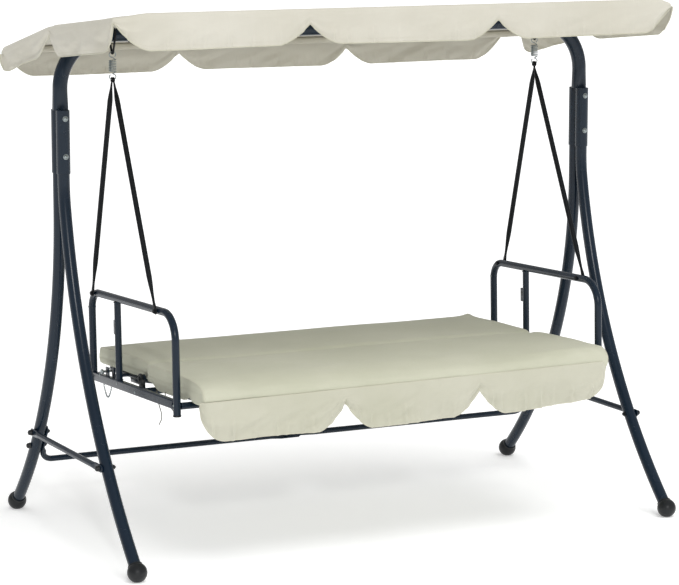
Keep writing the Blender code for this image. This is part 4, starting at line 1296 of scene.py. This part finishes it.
def puckers(seed, low, high, gap):
    """Places along a hem where the stitching has drawn the cloth up."""
    draw = random.Random(seed)
    found, place = [], low + gap * 0.6
    while place < high - gap * 0.4:
        found.append((place, draw.uniform(0.4, 1.0), draw.uniform(-0.25, 0.25)))
        place += gap * draw.uniform(0.45, 1.5)
    return found


def pucker_depth(marks, along, share):
    """A narrow crease that rises from the hem and fades upwards."""
    rise = soft_step((share - 0.38) / 0.5)
    if rise <= 0:
        return 0.0
    total = 0.0
    for place, size, lean in marks:
        distance = (along - place + lean * 0.05 * (1 - share)) / 0.0065
        if abs(distance) < 4:
            total += size * (exp(-(distance**2)) - 0.45 * exp(-((distance - 1.7) ** 2)))
    return total * rise


def make_skirt():
    columns, rows = 321, 25
    left, right = -0.752, 0.734
    marks = puckers(5, left, right, 0.055)

    def edge_heights(x):
        top_h = 0.0275 + 0.0075 * x / 0.74
        low_h = -0.1050 + 0.0210 * soft_step((x - 0.30) / 0.42) + 0.003 * sin(x * 9.0)
        for notch, reach in ((-0.249, 0.100), (0.2425, 0.100)):
            share = scallop_fall(abs(x - notch) / reach)
            if share < 1:
                return top_h, -0.021 + (low_h + 0.021) * share
        distance = min(x - left, right - x)
        return top_h, 0.004 + (low_h - 0.004) * round_fall(distance / 0.085)

    def place(i, j):
        u, t = i / (columns - 1), j / (rows - 1)
        bend = 0.5 - 0.5 * cos(pi * u)
        x = left + (right - left) * (0.25 * bend + 0.75 * u)
        top_h, low_h = edge_heights(x)
        soft = ripple(x * 7.0, t * 1.2, 2.0) * 0.0105
        soft += ripple(x * 19.0 + t * 4.0, t * 2.5, 4.0) * 0.0075
        drape = 0.0030 * sin(pi * min(1.0, t * 1.15)) + soft * soft_step(t * 1.6)
        drape += 0.0068 * pucker_depth(marks, x, t)
        end = min(x - left, right - x)
        curl = 0.011 * (1 - soft_step(end / 0.024)) ** 1.5
        return seat_point(x, -0.5135 - drape + curl, top_h + (low_h - top_h) * t)

    form = cloth_grid(columns, rows, place)
    area = cloth_area(form)
    made = settle("front_skirt", thicken(sheet_mesh(form), CLOTH_WALL), SKIRT_CLOTH, "seat",
        ["seat_skirt"])
    form = bmesh.new()
    hem = [place(0, j) for j in range(2, rows)] + [place(i, rows - 1)
        for i in range(1, columns - 1)]
    hem += [place(columns - 1, j) for j in range(rows - 1, 1, -1)]
    tube(form, hem, HEM_RADIUS, sides=10)
    tube(form, [place(i, 0) + Vector((0, -0.0004, 0)) for i in range(1, columns - 1)], 0.0015,
        sides=8)
    binding = settle("skirt_binding", form, PIPING_CLOTH, "seat")
    rows_in = rows - 3
    inner = [place(i, rows_in) + Vector((0, -0.0006, 0)) for i in range(3, columns - 3)]
    stitches = sew("skirt_stitches", [inner], "seat")


# stitches


def stitch_tree():
    """Geometry nodes that lay one short thread after another along each seam."""
    tree = bpy.data.node_groups.new("stitches", "GeometryNodeTree")
    side = tree.interface
    side.new_socket("Geometry", in_out="INPUT", socket_type="NodeSocketGeometry")
    side.new_socket("Geometry", in_out="OUTPUT", socket_type="NodeSocketGeometry")
    for name, kind in (("Spacing", "Float"), ("Length", "Float"), ("Thickness", "Float"),
            ("Thread", "Material")):
        side.new_socket(name, in_out="INPUT", socket_type=f"NodeSocket{kind}")

    def node(kind, settings=(), **inputs):
        made = tree.nodes.new(kind)
        for key, value in dict(settings).items():
            setattr(made, key, value)
        for key, value in inputs.items():
            entry = made.inputs[key.replace("_", " ")]
            if isinstance(value, bpy.types.NodeSocket):
                tree.links.new(value, entry)
            else:
                entry.default_value = value
        return made

    entry = node("NodeGroupInput").outputs
    points = node("GeometryNodeCurveToPoints", {"mode": "LENGTH"}, Curve=entry["Geometry"],
        Length=entry["Spacing"])
    thread = node("GeometryNodeMeshIcoSphere", Radius=0.5, Subdivisions=1)
    size = node("ShaderNodeCombineXYZ", X=entry["Thickness"], Y=entry["Thickness"],
        Z=entry["Length"])
    laid = node(
        "GeometryNodeInstanceOnPoints",
        Points=points.outputs["Points"],
        Instance=thread.outputs["Mesh"],
        Rotation=points.outputs["Rotation"],
        Scale=size.outputs["Vector"],
    )
    real = node("GeometryNodeRealizeInstances", Geometry=laid.outputs["Instances"])
    dressed = node("GeometryNodeSetMaterial", Geometry=real.outputs["Geometry"],
        Material=entry["Thread"])
    node("NodeGroupOutput", Geometry=dressed.outputs["Geometry"])
    return tree


def sew(name, seams, body, spacing=0.0042, length=0.0030, thickness=0.0009):
    """A row of stitches along each seam."""
    curve = bpy.data.curves.new(name, "CURVE")
    curve.dimensions = "3D"
    for seam in seams:
        spline = curve.splines.new("POLY")
        spline.points.add(len(seam) - 1)
        for entry, point in zip(spline.points, seam):
            entry.co = (*point, 1.0)
    source = bpy.data.objects.new(name + "_source", curve)
    bpy.context.scene.collection.objects.link(source)
    rows = source.modifiers.new("stitches", "NODES")
    rows.node_group = STITCHES
    values = {"Spacing": spacing, "Length": length, "Thickness": thickness, "Thread": THREAD}
    for item in STITCHES.interface.items_tree:
        if item.in_out == "INPUT" and item.name in values:
            rows[item.identifier] = values[item.name]
    graph = bpy.context.evaluated_depsgraph_get()
    mesh = bpy.data.meshes.new_from_object(source.evaluated_get(graph))
    bpy.data.objects.remove(source, do_unlink=True)
    bpy.data.curves.remove(curve)
    return settle(name, mesh, THREAD, body, angle=60)


def sewing_thread():
    made = Finish("sewing_thread", Roughness=0.7, Metallic=0.0)
    x, y, z = made.axes()
    twist = ((x + y + z) * (CIRCLE / 0.0009)).sine()
    colour = made.blend_colour(twist.smooth(-0.8, 0.8), (0.50, 0.48, 0.38), (0.70, 0.68, 0.57))
    made.feed("Base Color", colour)
    made.feed("Roughness", 0.62 + 0.10 * twist)
    return made.material


THREAD = sewing_thread()
STITCHES = stitch_tree()

make_cushion()
make_skirt()

# canopy

EDGE_ROUND = 0.010


def canopy_height(y):
    front, ridge, back = CANOPY_LINE
    near, far = (front, ridge) if y < ridge[0] else (ridge, back)
    share = (y - near[0]) / (far[0] - near[0])
    rounding = 0.003 * exp(-(((y - ridge[0]) / 0.020) ** 2))
    return near[1] + (far[1] - near[1]) * share - rounding


def canopy_puff(x, y):
    """How far the loose cover stands above its frame."""
    front, ridge, back = CANOPY_LINE
    left, right = (CANOPY_X + x), (CANOPY_X - x)
    side = soft_step(left / 0.13) * soft_step(right / 0.05)
    ends = soft_step((y - front[0]) / 0.16) * soft_step((back[0] - y) / 0.10)
    front_lift = 0.0125 * exp(-(((y - front[0]) / 0.10) ** 2)) * side
    ridge_dip = 1 - 0.75 * exp(-(((y - ridge[0]) / 0.05) ** 2))
    wave = 0.6 + ripple(x * 2.2, y * 4.0, 2.0) + 0.35 * ripple(x * 6, y * 9, 5.0)
    return front_lift + max(0.0,
        wave) * 0.0055 * soft_step(left / 0.08) * soft_step(right / 0.08) * ends * ridge_dip


def round_drop(distance):
    """How far a rounded edge falls at a distance in from it."""
    inside = EDGE_ROUND - min(distance, EDGE_ROUND)
    return EDGE_ROUND - sqrt(EDGE_ROUND**2 - inside**2)


def spaced(low, high, count):
    """Even places from low to high, closer together at both rounded ends."""
    rim = [0.0, 0.0006, 0.0018, 0.0036, 0.0064, 0.0100, 0.0155]
    inner = [low + rim[-1] + (high - low - 2 * rim[-1]) * step / count for step in range(1, count)]
    return [low + step for step in rim] + inner + [high - step for step in reversed(rim)]


def front_depth(x):
    distance = min(x + CANOPY_X, CANOPY_X - x)
    corner = 0.0085 + 0.106 * scallop_fall(distance / (0.132 if x < 0 else 0.105))
    notch = min(abs(x + 0.341), abs(x - 0.339))
    inner = 0.050 + 0.0645 * scallop_fall(notch / 0.112)
    return min(corner, inner) + 0.0020 * sin(x * 5.0)


def back_depth(x):
    left = 0.010 + 0.090 * scallop_fall((x + CANOPY_X) / 0.115)
    right = 0.006 + 0.094 * scallop_fall((0.935 - x) / 0.125)
    notch = min(abs(x + 0.361), abs(x - 0.289))
    inner = 0.040 + 0.060 * scallop_fall(notch / 0.105)
    return max(0.004, min(left, right, inner) + 0.0015 * sin(x * 7.0))


def side_depth(y):
    front, ridge, back = CANOPY_LINE
    if y <= ridge[0]:
        share = round_fall((y - front[0]) / 0.10) if y < -0.2 else round_fall((ridge[0]
            - y) / 0.085)
        return 0.012 + 0.092 * share
    share = scallop_fall((y - ridge[0]) / 0.110) if y < 0.3 else round_fall((back[0] - y) / 0.075)
    return 0.014 + 0.076 * share


def make_canopy():
    """One sewn cover: a stretched top with a scalloped valance on each side."""
    front, _, back = CANOPY_LINE
    rows = 16
    xs = spaced(-CANOPY_X, CANOPY_X, 320)
    ys = spaced(front[0], back[0], 76)
    form = bmesh.new()
    layer = form.loops.layers.uv.new("cloth")
    marks = {}
    top = []
    for y in ys:
        line = []
        for x in xs:
            near_x, near_y = CANOPY_X - abs(x), min(y - front[0], back[0] - y)
            z = canopy_height(y) + canopy_puff(x, y) - round_drop(near_x) - round_drop(near_y)
            vert = form.verts.new((x, y, z))
            marks[vert] = (x, y)
            line.append(vert)
        top.append(line)

    def add_face(corners):
        face = form.faces.new(corners)
        for loop in face.loops:
            loop[layer].uv = marks[loop.vert]

    for low, high in zip(top, top[1:]):
        for i in range(len(xs) - 1):
            add_face((low[i], low[i + 1], high[i + 1], high[i]))

    def flap(edge, places, depth_at, outward, seed, lumps):
        """Hangs a valance from one edge of the top. Returns its hem and stitched line."""
        creases = puckers(seed, min(places), max(places), 0.075)
        hung = [edge]
        for row in range(1, rows + 1):
            t = row / rows
            made = []
            for vert, along in zip(edge, places):
                reach = max(0.0015, depth_at(along) - EDGE_ROUND) * t
                soft = ripple(along * 6.0, t * 1.1, seed) * 0.0085
                soft += ripple(along * 15.0 + t * 3.0, t * 2.0, seed + 3) * 0.0060
                soft += ripple(along * 11.0, t * 3.5, seed + 8) * lumps
                out = 0.0026 + soft * soft_step(t * 1.5) + 0.0060 * pucker_depth(creases, along, t)
                new = form.verts.new(vert.co + outward * max(out, -0.006) - UP * reach)
                near = marks[vert]
                marks[new] = (near[0] + outward.x * reach, near[1] + outward.y * reach)
                made.append(new)
            hung.append(made)
        for low, high in zip(hung, hung[1:]):
            for i in range(len(edge) - 1):
                add_face((low[i], low[i + 1], high[i + 1], high[i]))
        hem = [vert.co.copy() for vert in hung[-1]]
        seam = [vert.co + outward * 0.0007 for vert in hung[-3]][4:-4]
        return hem, seam

    column = [list(line) for line in zip(*top)]
    flaps = (
        (top[0][::-1], xs[::-1], front_depth, Vector((0, -1, 0)), 2, 0.0),
        (top[-1], xs, back_depth, Vector((0, 1, 0)), 4, 0.002),
        (column[0], ys, side_depth, Vector((-1, 0, 0)), 7, 0.010),
        (column[-1][::-1], ys[::-1], side_depth, Vector((1, 0, 0)), 9, 0.004),
    )
    edges = [flap(*one) for one in flaps]
    area = cloth_area(form)
    covered = ["canopy_top", "front_valance", "back_valance", "left_valance", "right_valance"]
    cover = thicken(sheet_mesh(form), CLOTH_WALL)
    made = settle("canopy_cover", cover, CANOPY_CLOTH, "canopy", covered, angle=50)
    form = bmesh.new()
    for hem, _ in edges:
        tube(form, hem, HEM_RADIUS, sides=8)
    binding = settle("canopy_binding", form, PIPING_CLOTH, "canopy")
    stitches = sew("canopy_stitches", [seam for _, seam in edges], "canopy")
    flat = (2 * CANOPY_X + 0.21, back[0] - front[0] + 0.24)
    min(area, flat[0] * flat[1])


def make_canopy_frame():
    """The two long tubes, each in the pocket that is sewn inside the cover."""
    for word in ("front", "back"):
        low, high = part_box(f"canopy_{word}_tube")
        y, z = (low.y + high.y) / 2, (low.z + high.z) / 2
        form = bmesh.new()
        tube(form, [(low.x, y, z), (0, y, z), (high.x, y, z)], 0.008, sides=24)
        for x, direction in ((low.x, -1), (high.x, 1)):
            plug = [(0.0084, -0.004), (0.0086, 0.0), (0.0070, 0.0016), (0.0, 0.0022)]
            lathe(form, plug, (x, y, z), (direction, 0, 0))
        settle(f"canopy_{word}_rail", form, STEEL, "canopy", [f"canopy_{word}_tube"])
        form = bmesh.new()
        for first, last in ((-0.985, -0.738), (-0.702, 0.702), (0.738, 0.985)):
            count = max(4, int((last - first) / 0.006))
            rings = []
            for radius_in in (0.0, -0.0009):
                side = []
                for step in range(count + 1):
                    x = first + (last - first) * step / count
                    loose = 0.0105 + 0.0012 * ripple(x * 22.0, y, 0.5) + radius_in
                    side.append(section((x, y, z), (0, 1, 0), (0, 0, 1), loose, loose + 0.0006,
                        sides=20))
                rings += side if radius_in == 0.0 else side[::-1]
            add_rings(form, rings, closed=True)
        # The pockets wear the darkened canvas, with its painted shade.
        settle(f"canopy_{word}_pocket", form, SHADED_POCKET_CLOTH, "canopy")


make_canopy()
make_canopy_frame()

# CAD nodes that stay

for name in ("canopy_left_arm", "canopy_right_arm"):
    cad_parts[name].data.materials.clear()
    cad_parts[name].data.materials.append(STEEL)


def make_collar_bolts():
    """The bolt that pinches each canopy arm's collar: a washer and a hexagonal head."""
    for word, _ in SIDES:
        low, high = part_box(f"canopy_{word}_knob")
        place = Vector(((low.x + high.x) / 2, (low.y + high.y) / 2, high.z))
        form = bmesh.new()
        lathe(form, [(0.0085, 0.0), (0.0085, 0.0012), (0.0, 0.0012)], place, (0, 0, -1), sides=28)
        hexagon = [(0.0062, 0.0010), (0.0066, 0.0016), (0.0066, 0.0058), (0.0058, 0.0066),
            (0.0, 0.0068)]
        lathe(form, hexagon, place, (0, 0, -1), sides=6)
        name = f"canopy_{word}_collar_bolt"
        settle(name, form, ZINC, "canopy", [f"canopy_{word}_knob"], angle=30)


make_collar_bolts()


def make_pin_chain():
    """The chain that keeps the lock pin from getting lost, hung under the left rail."""
    start, end, low = Vector((-0.780, 0.2187, 0.4850)), Vector((-0.780, 0.1452, 0.4872)), 0.0450
    count = 22
    places = []
    for step in range(count + 1):
        t = step / count
        places.append(start.lerp(end, t) - UP * low * 4 * t * (1 - t))
    form = bmesh.new()
    for index, (here, after) in enumerate(zip(places, places[1:])):
        along = (after - here).normalized()
        across = Vector((1, 0, 0)) if index % 2 else along.cross(Vector((1, 0, 0))).normalized()
        middle = (here + after) / 2
        half = (after - here).length / 2 + 0.0011
        oval = []
        for step in range(16):
            turn = CIRCLE * step / 16
            oval.append(middle + along * half * cos(turn) + across * 0.0025 * sin(turn))
        tube(form, oval, 0.00085, sides=6, closed=True)
    for place in (start, end):
        lathe(form, [(0.0040, 0.0), (0.0040, 0.0012), (0.0022, 0.0030), (0.0, 0.0034)],
            place + UP * 0.0040, (0, 0, -1))
    settle("left_pin_chain", form, ZINC, "seat")


make_pin_chain()

# floor and light


def studio():
    glow = {"Emission_Color": (1.0, 1.0, 1.0, 1.0), "Emission_Strength": 0.30}
    finish = Finish("pale_floor", Roughness=0.95, Metallic=0.0, **glow)
    colour = finish.blend_colour(finish.noise(0.8, 3.0), (0.93, 0.935, 0.935), (0.95, 0.955, 0.955))
    finish.feed("Base Color", colour)
    form = bmesh.new()
    bmesh.ops.create_grid(form, x_segments=2, y_segments=2, size=60.0)
    mesh = bpy.data.meshes.new("floor")
    form.to_mesh(mesh)
    form.free()
    mesh.materials.append(finish.material)
    floor = bpy.data.objects.new("floor", mesh)
    bpy.context.scene.collection.objects.link(floor)

    world = bpy.data.worlds.new("studio")
    bpy.context.scene.world = world
    world.use_nodes = True
    world.node_tree.nodes["Background"].inputs["Color"].default_value = (1.0, 1.0, 1.0, 1.0)
    world.node_tree.nodes["Background"].inputs["Strength"].default_value = 0.50
    for name, place, spread, power in (
        ("overhead", (0.6, -2.0, 5.6), 40, 1.35),
        ("front", (3.4, -4.4, 2.2), 24, 0.30),
        ("strip", (-1.6, -5.0, 2.4), 5, 0.66),
        ("side", (5.0, 0.6, 2.4), 50, 0.22),
    ):
        lamp = bpy.data.lights.new(name, "SUN")
        lamp.angle = radians(spread)
        lamp.energy = power
        light = bpy.data.objects.new(name, lamp)
        light.location = place
        light.visible_glossy = name == "strip"
        light.rotation_euler = (-Vector(place)).to_track_quat("-Z", "Y").to_euler()
        bpy.context.scene.collection.objects.link(light)
    bpy.context.scene.view_settings.view_transform = "Standard"


studio()
